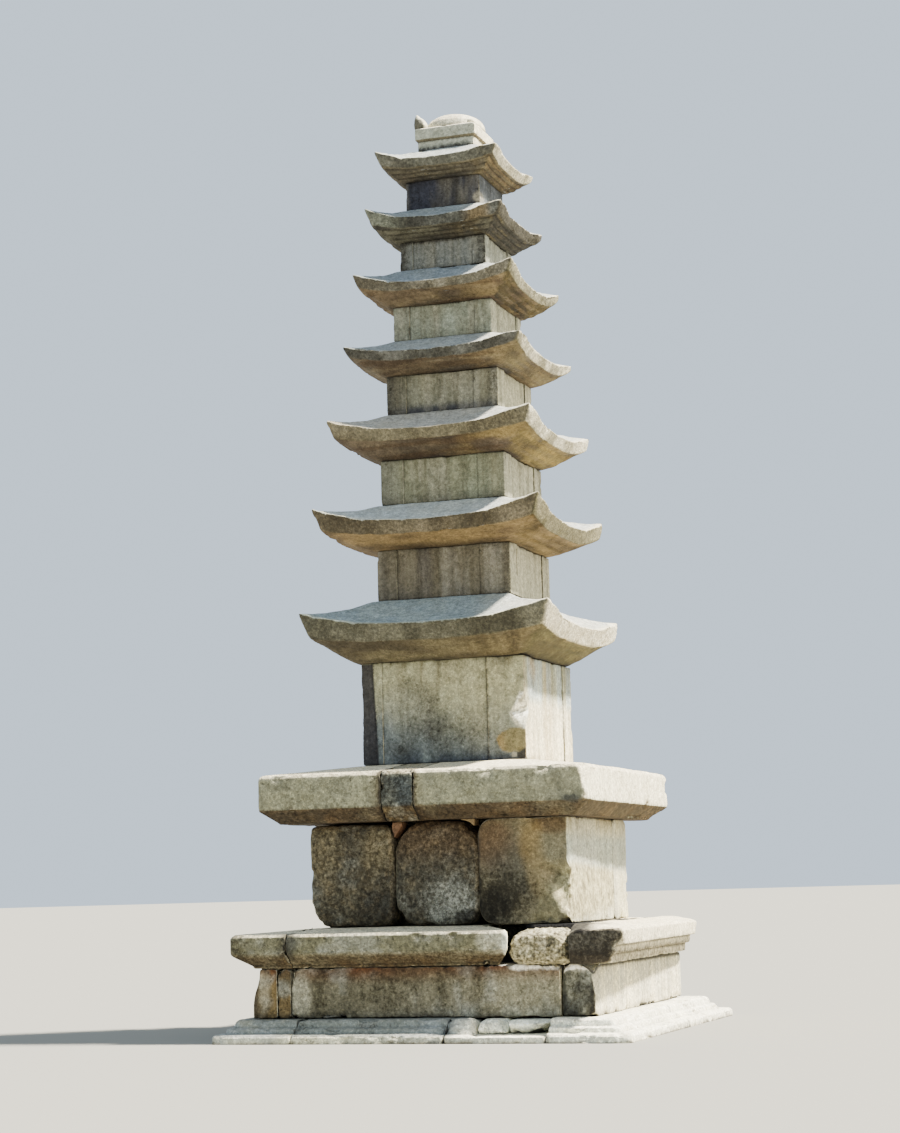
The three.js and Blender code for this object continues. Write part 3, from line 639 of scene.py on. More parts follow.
def base_slab(node):
    left, front, right = (node == f"lower_base_{name}_slab" for name in SIDES)
    stone = Stone(node, 0.032)
    x, y, rest_z = stone.rest.T
    if left:
        off = bell(x + BASE_HALF, 0.06) * fall(-1.3, -1.1, y)
        bulge = 0.065 * step(0.25, 0.55, rest_z) - 0.03
        stone.co[:, 0] += off * (bulge + 0.02 * noise(stone.rest, 9, 5, 2))
    if right:
        end = bell(y - y.min(), 0.1) * step(0.3, BASE_TOP, rest_z)
        across, _ = stone.shares()
        stone.smooth(8, bell(y + BASE_HALF, 0.08))
        stone.co[:, 2] -= 0.05 * end * np.abs(across) ** 5
        stone.co[:, 0] -= 0.02 * end * across ** 5
    if front or right:
        edge = bell(np.hypot(y + 1.35, rest_z - BASE_TOP), 0.05) * step(0.62, 0.72, x)
        stone.smooth(10, edge)
    weather(stone, 5, 0.009, 0.003, 0.014 if right else 0.024, gape=0.008)
    ochre = left or node == "lower_base_corner_filler"
    paint = Paint(stone, tone(133, 109, 70) if ochre else tone(142, 132, 106), side=BLEACHED,
                  top=PALE_GREY, left=OLIVE, back=CREAM)
    z = stone.co[:, 2]
    high = step(0.40, 0.55, z)
    paint.lay(tone(104, 50, 20), 0.95 * high * paint.front, (1.6, 1.6, 5), 1, 0.3, 0.55)
    paint.lay(OLIVE_DARK, 0.6 * paint.front, 2.4, 2, 0.45, 0.68)
    paint.lay(PALE_GREY, 0.5 * paint.front, 6, 3, 0.5, 0.7)
    paint.lay(BLACK, 0.55 * fall(0.17, 0.23, z), 5, 4, 0.4, 0.6)
    paint.marks(0.45, 0.28, 0.45)
    if front:
        for place, width in ((-0.81, 0.05), (0.166, 0.03), (0.45, 0.035), (-0.3, 0.16)):
            paint.stain(OLIVE_DARK, paint.dab(place, 0.42, width, 0.3, 0.8, 0.7), 0.55, 0.25)
        paint.dabs(((CREAM, 0.55, -0.98, 0.38, 0.09, 0.17), (BEIGE, 0.5, 0.86, 0.35, 0.3, 0.2)))
        paint.lay(BLACK, 0.7 * fall(-1.045, -1.02, stone.co[:, 0]) * paint.facing(1, -1, 0, 0.5))
        paint.lay(tone(104, 58, 28), 0.4 * high * paint.front)
    if left:
        paint.lay(BLACK, 0.9 * bell(x - x.min(), 0.045) * paint.facing(1, -1, -0.4, 0.2))
        paint.lay(CREAM, 0.4 * paint.dab(-1.26, 0.4, 0.05, 0.16))
        paint.lay(OCHRE, 0.12 * paint.front)
    if right:
        rim = bell(x - x.min(), 0.06) + 0.6 * fall(0.2, 0.28, z)
        rim += bell(x.max() - x, 0.05) * fall(0.36, 0.44, z)
        near_end = step(x.max() - 0.11, x.max() - 0.03, x) * step(0.38, 0.48, z)
        paint.lay(tone(150, 144, 122), 0.95 * paint.front)
        paint.lay(CHARCOAL, 0.8 * paint.front, 12, 8, 0.4, 0.6)
        paint.lay(BLACK, 0.95 * paint.front * np.clip(rim, 0, 1), 9, 9, 0.2, 0.45)
        paint.lay(PALE_GREY, 0.75 * paint.front * near_end)
        paint.lay(PALE_GREY, 0.5 * paint.right, (5, 5, 1), 6, 0.45, 0.62)
        paint.dark += 0.3 * paint.front
        paint.pale += 0.5 * paint.front
        paint.streaks += 0.15 * (1 - paint.front)
    paint.finish()
    if front or right:
        # Painted sunlight on the rounded top front edge, which the cap above keeps in shade, and a painted
        # shadow line under the cap on the right side.
        ragged = 0.03 * (noise(stone.rest, 11, 14, 3) - 0.5)
        painted_sunlit_brow = step(0.505, 0.53, rest_z + ragged) * step(0.68, 0.72, x) * fall(-1.2, -1.1, y)
        paint.lay(tone(255, 250, 235), 0.95 * painted_sunlit_brow)
        paint.dark *= 1 - painted_sunlit_brow
        paint.lay(0.3 * BLACK, 0.9 * paint.facing(0, 1, 0.2, 0.6) * step(0.505, 0.53, rest_z))
    return paint


def lower_cap_slab(node):
    left, front, right = (node == f"lower_cap_{name}_slab" for name in SIDES)
    stone = Stone(node, 0.036)
    x, y, z = stone.rest.T
    if front:
        end = step(x.max() - 0.3, x.max(), x)
        stone.co[:, 0] -= 0.7 * end * np.clip(y - y.min(), 0, 0.45)
        stone.co[:, 0] += 0.006 * step(x.max() - 0.04, x.max(), x)
    if right:
        near = bell(y - y.min(), 0.09)
        stone.smooth(16, near * step(1.36, 1.42, x) * fall(0.7, 0.76, z), 0.03)
        stone.co[:, 0] += 0.05 * near * step(1.36, 1.46, x) * fall(0.62, 0.69, z)
        sunken = np.clip((1.30 - x) / 0.11, 0, 1) ** 2 * step(0.7, 0.84, z)
        stone.co[:, 2] -= 0.05 * near * sunken
    weather(stone, 2 if right else 5, 0.009, 0.003, 0.012 if right else 0.024, gape=0.006)
    paint = Paint(stone, tone(122, 115, 87), side=BLEACHED, top=CREAM, under=OLIVE, left=OLIVE, back=CREAM)
    x, _, z = stone.co.T
    low = fall(0.63, 0.68, z)
    paint.lay(tone(98, 74, 46), 0.9 * low * paint.facing(1, -1, 0.1, 0.5) * (0.6 + 0.4 * paint.clouds(3, 1)))
    paint.lay(OCHRE_DARK, 0.5 * low * paint.facing(0, 1, 0.1, 0.5))
    paint.lay(OLIVE_DARK, 0.5 * paint.front, 2.6, 2, 0.45, 0.65)
    paint.lay(PALE_GREY, 0.35 * (1 - low), 7, 3, 0.48, 0.68)
    paint.marks(0.25, 0.3 + 0.25 * low, 0.55)
    if left:
        paint.stain(OLIVE_DARK, fall(-1.46, -1.3, x), 0.5, 0.35)
        paint.lay(BLACK, 0.6 * paint.dab(-1.04, 0.72, 0.05, 0.12))
    if front:
        paint.dabs(((BLACK, 0.7, -1, 0.73, 0.05, 0.12), (BLACK, 0.6, 0.075, 0.74, 0.012, 0.1, 0.5, 0.6)))
        paint.lay(CREAM, 0.5 * paint.dab(0.62, 0.74, 0.12, 0.1, deep=0.1))
        # Painted shade on the end face by the filler, and a painted highlight along the rounded right end.
        rim = step(0.685, 0.705, x + 0.03 * (noise(stone.rest, 16, 15, 3) - 0.5)) * fall(-1.46, -1.4, y)
        paint.lay(BLACK, 0.9 * paint.facing(0, 1, 0.2, 0.6))
        paint.lay(tone(240, 233, 205), 0.9 * rim)
        paint.dark *= 1 - rim
    if right:
        front_face = paint.facing(1, -1, 0.2, 0.7)
        paint.lay(tone(86, 78, 67), 0.85 * front_face * fall(1.575, 1.61, x))
        paint.lay(BLACK, 0.6 * front_face * fall(1, 1.2, x), 8, 7, 0.35, 0.6)
        paint.dark += 0.4 * front_face
        paint.lay(CREAM, 0.8 * paint.facing(0, 1, 0.2, 0.6))
        shaded = fall(1.3, 1.46, x + 0.08 * (noise(stone.rest, 9, 19, 2) - 0.5)) * fall(-1, -0.8, y)
        paint.lay(0.5 * BLACK, 0.95 * shaded * step(0.76, 0.8, z))
        # Painted shade in the grooves of the moulding.
        right_face = step(0.3, 0.7, stone.flat_normals[:, 0])
        for groove in (0.62, 0.686):
            paint.lay(0.6 * OLIVE_DARK, 0.9 * right_face * bell(z - groove, 0.012))
    return paint.finish()


def filler_stone(node):
    stone = Stone(node, 0.014)
    y = stone.rest[:, 1]
    across, up = stone.shares()
    near = fall(y.min(), y.min() + 0.15, y)
    stone.co[:, 0] -= (0.025 + 0.05 * up) * near * np.maximum(-across, 0)
    stone.co[:, 2] -= 0.085 * near * up * across ** 4
    stone.co[:, 2] += 0.04 * near * (1 - up) * np.abs(across) ** 5
    stone.co[:, 1] += 0.06 * near * np.maximum(np.abs(across) ** 5, (2 * up - 1) ** 4)
    weather(stone, 7, 0.016, 0.03, 0.014, 6.5, 30)
    paint = Paint(stone, tone(172, 164, 130))
    paint.lay(OLIVE_DARK, 0.4, 18, 1)
    paint.lay(BLACK, 0.7, 52, 3, 0.5, 0.6, 2)
    paint.lay(BLEACHED, 0.5, 44, 2, 0.52, 0.62, 2)
    # Painted shade at the right end, in the gap by the right cap slab.
    paint.lay(BLACK, 0.85 * step(0.8, 0.97, across))
    paint.marks(0.25, 0.6, 0.7)
    return paint.finish(2, shaded=(1, 1, 1))


def core_piece(node):
    stone = Stone(node, 0.1)
    weather(stone, 2, 0.004, 0.004, 0.01)
    paint = Paint(stone, RUBBLE)
    paint.lay(BROWN, 0.3, 6, 1)
    paint.lay(CHARCOAL, 0.5, 4, 2, 0.5, 0.7)
    paint.dark[:] = 0.5
    if node == "lower_cap_inner_slab":
        # Painted shade: the inner slab shows only in a shadowed gap.
        paint.lay(0.15 * BLACK, 1)
        paint.pale[:] = 0
    return paint.finish()


# Upper base and its cap

UPPER_CORNERS = ((-1, 1), (1, 1), (-1, -1), (1, -1))
BREAK = [(0.919, 1.121), (1.08, 1.30), (1.2, 1.2), (1.2, 0.86), (1.07, 0.87)]
BREAK_RIM = [(0.90, 1.14), (1.09, 1.32), (1.2, 1.2), (1.2, 0.84), (0.78, 0.84)]
UPPER_JOINTS = {"upper_cap_left_slab": -0.299, "upper_cap_right_slab": -0.041}


def boulder(node):
    left = "left" in node
    stone = Stone(node, 0.028)
    if left:
        stone.co[:, 2] += 0.02 * step(1.3, 1.6, stone.co[:, 2])
    y = stone.rest[:, 1]
    across, up = stone.shares()
    rise = 2 * up - 1
    corner = across ** 4 * rise ** 4
    losses = (0, 0.03, 0.07, 0.04) if left else (0.15, 0.10, 0.08, 0.03)
    for (side, over), loss in zip(UPPER_CORNERS, losses):
        here = loss * corner * (across * side > 0) * (rise * over > 0)
        stone.co[:, 0] -= side * here
        stone.co[:, 2] -= over * 0.7 * here
    stone.co[:, 1] += 0.04 * np.maximum(across ** 6, rise ** 8) * (y < (y.min() + y.max()) / 2)
    weather(stone, 7, 0.013, 0.01, 0.018, 3.6, 12)
    paint = Paint(stone, tone(112, 102, 80), side=tone(150, 138, 110), left=OLIVE)
    z = stone.co[:, 2]
    paint.lay(tone(164, 140, 100), 0.35, 38, 1, 0.48, 0.64)
    paint.lay(CHARCOAL, 0.5, 4.2, 2, 0.42, 0.62)
    paint.lay(BLACK, 0.6 * fall(0.86, 1.02, z), 6, 3)
    paint.lay(PALE_GREY, 0.25, 7, 4, 0.55, 0.72)
    paint.marks(0.25, 0.6, 0.35)
    if left:
        paint.dabs((
            (tone(160, 142, 106), 0.5, -0.45, 1.42, 0.12, 0.16),
            (tone(150, 134, 100), 0.45, -0.9, 1.42, 0.14, 0.22),
            (BLACK, 0.6, -0.45, 1, 0.16, 0.14)), deep=0.3)
    else:
        paint.lay(CHARCOAL, 0.3)
        paint.lay(tone(120, 92, 62), 0.55 * step(1.25, 1.5, z))
        paint.dabs((
            (PALE_GREY, 0.6, 0.15, 1.02, 0.2, 0.18, 0.5),
            (BLACK, 0.8, 0.28, 0.9, 0.12, 0.06)), deep=0.3)
        paint.pale += 0.3 * fall(1, 1.3, z)
    return paint.finish(1.3)


def big_block(node):
    near_block = node == "upper_base_front_right_block"
    stone = Stone(node, 0.032)
    if near_block:
        x, y, z = stone.rest.T
        off = np.hypot(x - x.max(), y - y.min())
        stone.smooth(16, bell(off, 0.1) * fall(1.25, 1.5, z), 0.03)
        fallen = np.minimum(0.9 * (x - 0.919) + 0.55 * (z - 1.121), 1.1 * (1.3 - z))
        fallen = np.clip(fallen, 0, 0.085) * (0.75 + 0.5 * noise(stone.rest, 22, 15, 3))
        stone.co[:, 1] += fallen * fall(-0.98, -0.75, y)
    weather(stone, 5, 0.01, 0.004, 0.02)
    paint = Paint(stone, tone(146, 134, 104), side=tone(216, 208, 170), left=OLIVE, back=CREAM, top=PALE_GREY)
    x, _, z = stone.co.T
    front, right = paint.front, paint.right
    paint.marks(0.3 + 0.1 * right, 0.2, 0.35)
    paint.lay(OLIVE, 0.25 * right, (7, 7, 0.7), 11, 0.5, 0.64)
    damp = paint.spot((1.02, -0.55, 0.92), (0.3, 0.16, 0.12), 0.6, 0.5)
    paint.lay(OLIVE_DARK, 0.55 * right * damp)
    # Painted shade: cool grey band where the cap's shadow falls on the right face.
    paint.lay(tone(188, 196, 184), 0.7 * right * step(1.2, 1.26, z) * fall(1.44, 1.56, z))
    paint.lay(OCHRE_DARK, 0.6 * right * step(1.5, 1.66, z), (4, 4, 1), 1, 0.3, 0.6)
    paint.lay(PALE_GREY, 0.4 * right, (6, 6, 0.8), 2, 0.45, 0.62)
    paint.lay(OLIVE, 0.45 * paint.facing(0, -1), 3, 3)
    if near_block:
        paint.dabs((
            (tone(104, 76, 50), 0.8, 0.47, 1.46, 0.2, 0.2, 0.6),
            (CHARCOAL, 0.65, 0.72, 1.22, 0.3, 0.22, 0.6),
            (tone(120, 96, 66), 0.85, 0.96, 1.585, 0.15, 0.07),
            (OCHRE, 0.5, 0.80, 1.45, 0.08, 0.2, 0.6),
            (BLACK, 0.8, 0.47, 0.98, 0.19, 0.15, 0.6, 0.5),
            (tone(150, 140, 108), 0.6, 0.95, 1.2, 0.14, 0.25, 0.6)), front, 0.3)
        paint.dark += 0.65 * front * paint.dab(0.52, 1.05, 0.28, 0.22, 0.6, deep=0.3)
        broken, rough = paint.inside(BREAK, 0.02), paint.inside(BREAK_RIM, 0.03)
        paint.lay(tone(146, 136, 102), 0.8 * rough * front)
        paint.lay(tone(96, 90, 70), 0.6 * rough * front, 30, 16, 0.48, 0.6)
        # Paler fresh broken facet, partly painted sunlight.
        paint.lay(tone(186, 176, 136), 0.85 * broken)
        paint.lay(OLIVE_DARK, 0.7 * broken, 38, 12, 0.5, 0.6)
        paint.dabs(((tone(156, 134, 92), 0.6, 0.85, 1.22, 0.08, 0.16, 0.6),), front, 0.3)
        paint.lay(BLACK, 0.9 * front * fall(0.37, 0.4, x))
    return paint.finish()


def wedge_stone(node):
    stone = Stone(node, 0.018)
    weather(stone, 3, 0.004, 0.003, 0.006, 6, 20)
    paint = Paint(stone, tone(150, 112, 84) if "left" in node else tone(186, 160, 122))
    paint.lay(OCHRE_DARK, 0.4, 14, 1)
    return paint.finish()


def upper_cap_slab(node):
    stone = Stone(node, 0.034)
    right, dark = node == "upper_cap_right_slab", node == "upper_cap_middle_stone"
    if right:
        x, y, z = stone.rest.T
        fallen = np.clip(x - x.max() + 0.06 * step(1.78, 1.98, z), 0, 0.1)
        stone.co[:, 1] += fallen * fall(y.min() + 0.02, y.min() + 0.12, y)
    weather(stone, 5, 0.009, 0.003, 0.022, gape=0.009)
    paint = Paint(stone, tone(88, 91, 87) if dark else tone(162, 155, 122), side=BLEACHED,
                  top=OLIVE if dark else CREAM, under=tone(110, 92, 66), left=PALE_GREY, back=CREAM)
    x, _, z = stone.co.T
    low = fall(1.73, 1.775, z)
    paint.lay(tone(80, 65, 46), 0.95 * low * (0.6 + 0.4 * paint.clouds(3, 1, 0.3, 0.6)))
    paint.lay(BROWN, 0.5 * low, 5, 2, 0.5, 0.7)
    paint.lay(OLIVE, 0.4 * paint.front, 2.8, 3, 0.48, 0.68)
    paint.lay(CREAM, 0.5 * step(1.97, 2.01, z))
    paint.lay(CHARCOAL, 0.3 * paint.front, (13, 13, 9), 14, 0.48, 0.64)
    if dark:
        paint.marks(0.25, 0.62, 0.5)
        paint.lay(PALE_GREY, 0.5, 9, 5, 0.5, 0.66)
        paint.lay(OCHRE_DARK, 0.3 * low)
    else:
        paint.marks(0.25, 0.24 + 0.25 * low, 0.45)
        to_joint = x - UPPER_JOINTS[node]
        paint.stain(BROWN, bell(to_joint, 0.05) * paint.facing(1, -1, 0.1, 0.5), 0.5, 0.3)
        paint.lay(0.5 * BLACK, 0.9 * bell(to_joint, 0.016) * paint.facing(1, -1, -0.2, 0.2))
    if right:
        paint.scale((0.96, 1.06, 1.04), low * paint.facing(0, 1, 0.2, 0.6))
        paint.dabs(((CHARCOAL, 0.85, 1.2, 1.765, 0.075, 0.03), (OLIVE_DARK, 0.35, 0.42, 1.83, 0.05, 0.03)))
    return paint.finish()


# Bodies of the storeys

# Each body's front and right tones, and how dark its left edge is
BODIES = {
    1: ((164, 162, 130), (226, 217, 184), 0),
    2: ((100, 95, 86), (186, 180, 152), 0.15),
    3: ((138, 141, 116), (188, 183, 156), 0.5),
    4: ((132, 131, 112), (190, 184, 154), 0.6),
    5: ((140, 146, 130), (180, 176, 150), 0.15),
    6: ((113, 116, 111), (160, 160, 142), 0.25),
    7: ((51, 53, 63), (130, 134, 134), 0),
}
PATCH = [(0.437, 2.273), (0.452, 2.218), (0.491, 2.17), (0.548, 2.159), (0.629, 2.164), (0.679, 2.193),
         (0.75, 2.22), (0.75, 2.30), (0.659, 2.341), (0.619, 2.35), (0.554, 2.346), (0.487, 2.318)]
CHIP = [(0.64, 2.62), (0.557, 2.447), (0.603, 2.367), (0.66, 2.34), (0.75, 2.34), (0.75, 2.62)]
FINE_AREA = [(0.42 + 0.03 * i, -0.68, 2.10 + 0.03 * j) for i in range(10) for j in range(18)]

# Dark stains and drips on the first body: x, z, half width, half height and strength; x, half width, length
STAINS = ((-0.26, 2.71, 0.1, 0.08, 0.5), (-0.12, 2.6, 0.1, 0.1, 0.45), (-0.1, 2.45, 0.16, 0.12, 0.45),
          (0.1, 2.33, 0.3, 0.14, 0.5), (0.49, 2.9, 0.08, 0.05, 0.5), (-0.36, 2.2, 0.12, 0.08, 0.6))
DRIPS = ((-0.166, 0.016, 0.16), (-0.024, 0.014, 0.2), (0.373, 0.01, 0.9),
         (-0.424, 0.007, 0.9), (-0.31, 0.02, 0.06), (0.56, 0.03, 0.07))


def chip_first_body(stone):
    x, y, z = stone.rest.T
    height = 1 - np.abs(z - 2.48) / 0.14
    broken = np.clip(x - 0.68 + 0.115 * height, 0, 0.2) * (height > 0) * (y < -0.6)
    stone.co[:, 1] += 0.75 * broken + 0.012 * (broken > 0.004) * noise(stone.rest, 60, 12, 2)


def stain_first_body(paint, up):
    """Damp foot, stains, lost strip, patch and chip of the front, and the shade under the roof."""
    x, _, z = paint.p.T
    front, right, around = paint.front, paint.right, 1 - paint.right
    ragged = noise(paint.p, 3.2, paint.seed + 8, 4)
    foot = around * fall(0.02, 0.95, up + 0.7 * (ragged - 0.5) + 0.12 * np.sin(x * 4 + 0.6))
    paint.stain(tone(104, 114, 118), foot, 0.9, 0.08)
    for *place, amount in STAINS:
        paint.stain(CHARCOAL, amount * front * paint.dab(*place, 0.7, 0.6), 0.8, 0.4)
    for middle, width, length in DRIPS:
        paint.lay(OLIVE_DARK, 0.6 * front * paint.dab(middle, 2.9, width, length, 0.6, 0.4))
    strip = paint.facing(1, -1, 0.2, 0.7) * fall(-0.574, -0.566, x - 0.034 * (1 - up))
    paint.lay(tone(54, 52, 54), 0.95 * strip)
    paint.dark *= 1 - strip
    damp = step(-0.5, -0.3, x) * fall(0, 0.17, up + 0.1 * (noise(paint.p, 9, 23, 2) - 0.5))
    paint.lay(tone(52, 56, 66), 0.8 * around * damp, 6, 7, 0.15, 0.45)
    front_face = paint.facing(1, -1, 0.1, 0.4)
    paint.dabs(((BLACK, 0.85, 0.655, 2.15, 0.05, 0.05, 0.25, 0.3),
                (PALE_GREY, 0.6, 0.58, 2.14, 0.02, 0.02, 0.3, 0.3)), front_face)
    patch, chip = front_face * paint.inside(PATCH), front_face * paint.inside(CHIP, 0.012)
    paint.lay(tone(114, 106, 74), 0.92 * patch)
    paint.lay(tone(126, 100, 60), 0.5 * patch * fall(0.45, 0.55, x))
    # Paler fresh stone of the chip, partly painted sunlight, brightest on its upper part.
    paint.lay(tone(206, 202, 180), 0.95 * chip)
    paint.lay(SUNLIT_CREAM, chip * step(2.40, 2.46, z))
    paint.lay(tone(110, 110, 100), 0.75 * chip, 46, 9, 0.5, 0.58)
    bare = np.clip(patch + chip, 0, 1)
    paint.dark *= 1 - 0.9 * bare
    paint.streaks *= 1 - 0.8 * bare
    shade = right * step(0.5, 0.66, up)
    paint.lay(tone(180, 181, 155), 0.9 * shade)
    paint.lay(tone(176, 190, 192), 0.75 * shade, (7, 7, 0.7), 17, 0.4, 0.6)
    paint.lay(OCHRE, 0.5 * shade * paint.spot((0.68, -0.42, 2.92), (0.3, 0.1, 0.2), 0.6, 0.5))
    paint.lay(OLIVE, 0.35 * right, (12, 12, 0.7), 13, 0.5, 0.62)
    paint.lay(OCHRE, 0.25 * right, (7, 7, 0.6), 3, 0.5, 0.68)


def body_stone(node):
    number = int(node[-1])
    front_tone, right_tone, left_edge = BODIES[number]
    first = number == 1
    stone = Stone(node, 0.026, extra=FINE_AREA if first else ())
    if first:
        chip_first_body(stone)
    weather(stone, 2, 0.002, 0.0012, 0.009)
    base = tone(*front_tone)
    paint = Paint(stone, base, side=tone(*right_tone), left=base * 0.9, back=CREAM)
    x, _, z = stone.co.T
    low, high = stone.rest[:, 2].min(), stone.rest[:, 2].max()
    up = (z - low) / (high - low)
    half = np.abs(stone.rest[:, 0]).max()
    front, around = paint.front, 1 - paint.right
    paint.lay(OLIVE, 0.3 * around, (5, 5, 1.4), 1, 0.42, 0.65)
    if first:
        paint.marks(0.5, 0.12, 0.3)
        stain_first_body(paint, up)
    else:
        paint.marks(0.7, 0.06, 0.18)
    if number in (2, 3, 4):
        foot_tone, foot, edge_cover, edge_dark = (
            (BLUE_BLACK, 0.92, 0.7, 0.4) if number == 4 else (CHARCOAL, 0.4, 0.2, 0.1))
        edge = front * fall(0, 0.16, half - np.abs(x))
        paint.lay(OLIVE_DARK, 0.25 * around, (4, 4, 2), 2, 0.45, 0.68)
        paint.lay(foot_tone, foot * around * fall(0.08, 0.3, up))
        paint.stain(CHARCOAL, edge, edge_cover, edge_dark)
        paint.dark += 0.06 * around
    if not first:
        paint.lay(OLIVE_DARK, 0.28 * around, (10, 10, 0.9), 21, 0.48, 0.64)
        paint.lay(PALE_GREY, 0.2 * around, (12, 12, 0.8), 22, 0.5, 0.62)
        paint.lay(CHARCOAL, left_edge * front * fall(0.02, 0.24, x + half))
    if number == 5:
        paint.lay(OLIVE, 0.3 * around, (6, 6, 1.2), 4)
    if number == 6:
        edge = front * np.maximum(fall(0, 0.12, half - np.abs(x)), step(0.82, 1, up))
        paint.stain(CHARCOAL, edge, 0.75, 0.6)
    if number == 7:
        paint.lay(tone(98, 98, 100), 0.4 * front, (14, 14, 1.2), 4, 0.5, 0.62)
        paint.lay(BLUE_BLACK, 0.6 * paint.right * step(0.25, 0.6, up))
        paint.lay(tone(170, 162, 140), 0.8 * paint.dab(0.318, 6.735, 0.05, 0.045, deep=0.1))
        paint.marks(0.8, 0.3, 0.18)
    return paint.finish(0.9, shaded=(1, 1, 1))


# Roofs

# Factors on each roof's tint, the top ones being painted shade, where its bevelled rim starts as a share of
# its reach, how golden and how dark it is, and how often the steps of its underside are smoothed
Roof = namedtuple("Roof", "fascia under right_under top rim gold dark smoothed")
ROOFS = {
    1: ((0.56, 0.57, 0.6), (0.77, 0.82, 0.98), (0.57, 0.65, 0.6), (0.71, 0.84, 0.94), 0.923, 0.15, 0.18, 26),
    2: ((0.74, 0.66, 0.64), (1.45, 1.27, 1.2), (0.55, 0.44, 0.17), (1.2, 1.27, 1.35), 0.9265, 0.2, 0.22, 22),
    3: ((1.02, 0.95, 0.92), (0.74, 0.72, 0.98), (1.28, 1.22, 0.86), (1.05, 1, 0.97), 0.935, 0.75, 0.26, 16),
    4: ((0.55, 0.58, 0.75), (0.94, 0.97, 1.34), (0.9, 0.9, 0.9), (0.8, 0.86, 0.95), 0.934, 0.35, 0.42, 10),
    5: ((0.9, 0.88, 1), (1.06, 1.02, 1.25), (0.42, 0.42, 0.37), (0.62, 0.71, 0.84), 0.935, 0.35, 0.42, 6),
    6: ((0.46, 0.5, 0.66), (0.57, 0.68, 0.98), (0.32, 0.34, 0.38), (0.7, 0.78, 0.88), 0.919, 0.3, 0.6, 3),
    7: ((0.79, 0.84, 1.04), (0.72, 0.8, 1.12), (0.9, 0.9, 0.95), (0.8, 0.85, 0.9), 0.908, 0.3, 0.4, 0),
}
ALL_EDGES_FROM = 5  # the number of the first roof whose inner edges count as sharp too


def worn_roof(node, number, roof):
    """The roof with softened steps and tips that keep their reach; also how far its points lie from its
    centre in plan, and its reach.
    """
    low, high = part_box(node)
    middle, half = (low + high) / 2, (high.x - low.x) / 2

    def on_rim(place):
        return number >= ALL_EDGES_FROM or max(abs(place.x - middle.x), abs(place.y - middle.y)) > half * 0.9

    stone = Stone(node, 0.028, on_rim)
    p, plan = stone.rest, stone.rest[:, :2]
    centre = (plan.max(0) + plan.min(0)) / 2
    reach = (plan.max(0) - plan.min(0)).max() / 2
    across = np.abs(plan - centre)
    under = step(0.15, 0.35, -stone.flat_normals[:, 2]) * step(0, 0.05, reach * 0.93 - across.max(1))
    stone.smooth(roof.smoothed, under, 0.03)
    tip = step(0.80, 0.99, across.min(1) / reach)
    right_tip = tip * (p[:, 0] > centre[0])
    stone.smooth(9, 0.7 * tip + 0.3 * right_tip)
    stone.smooth(5, right_tip)
    if roof.smoothed > 5:
        stone.to_fold = np.full(len(p), FAR)
    weather(stone, 3, 0.006, 0.0035, 0.012)
    for way in np.array([(-1, -1), (-1, 1), (1, -1), (1, 1)]) / math.sqrt(2):
        along = (plan - centre) @ way
        share = step(0.62, 0.95, along / along.max())
        lost = along.max() - ((stone.co[:, :2] - centre) @ way).max()
        peak = np.argmax(along + p[:, 2])
        stone.co[:, 2] += (p[peak, 2] - stone.co[peak, 2]) * share
        stone.co[:, :2] += (lost * share)[:, None] * way
    not_top = 1 - step(0.2, 0.5, stone.flat_normals[:, 2])
    far_right = step(0.7, 1, (plan - centre) / reach).prod(1) * not_top
    for axis in (0, 1):
        t = across[:, axis] / reach
        lean = np.where(t > roof.rim, 1 - t, (1 - roof.rim) * step(0.75, roof.rim, t))
        stone.co[:, axis] += 0.95 * reach * lean * far_right
        stone.co[:, 2] += 0.02 * lean / (1 - roof.rim) * far_right
    stone.smooth(3, right_tip)
    return stone, across, reach


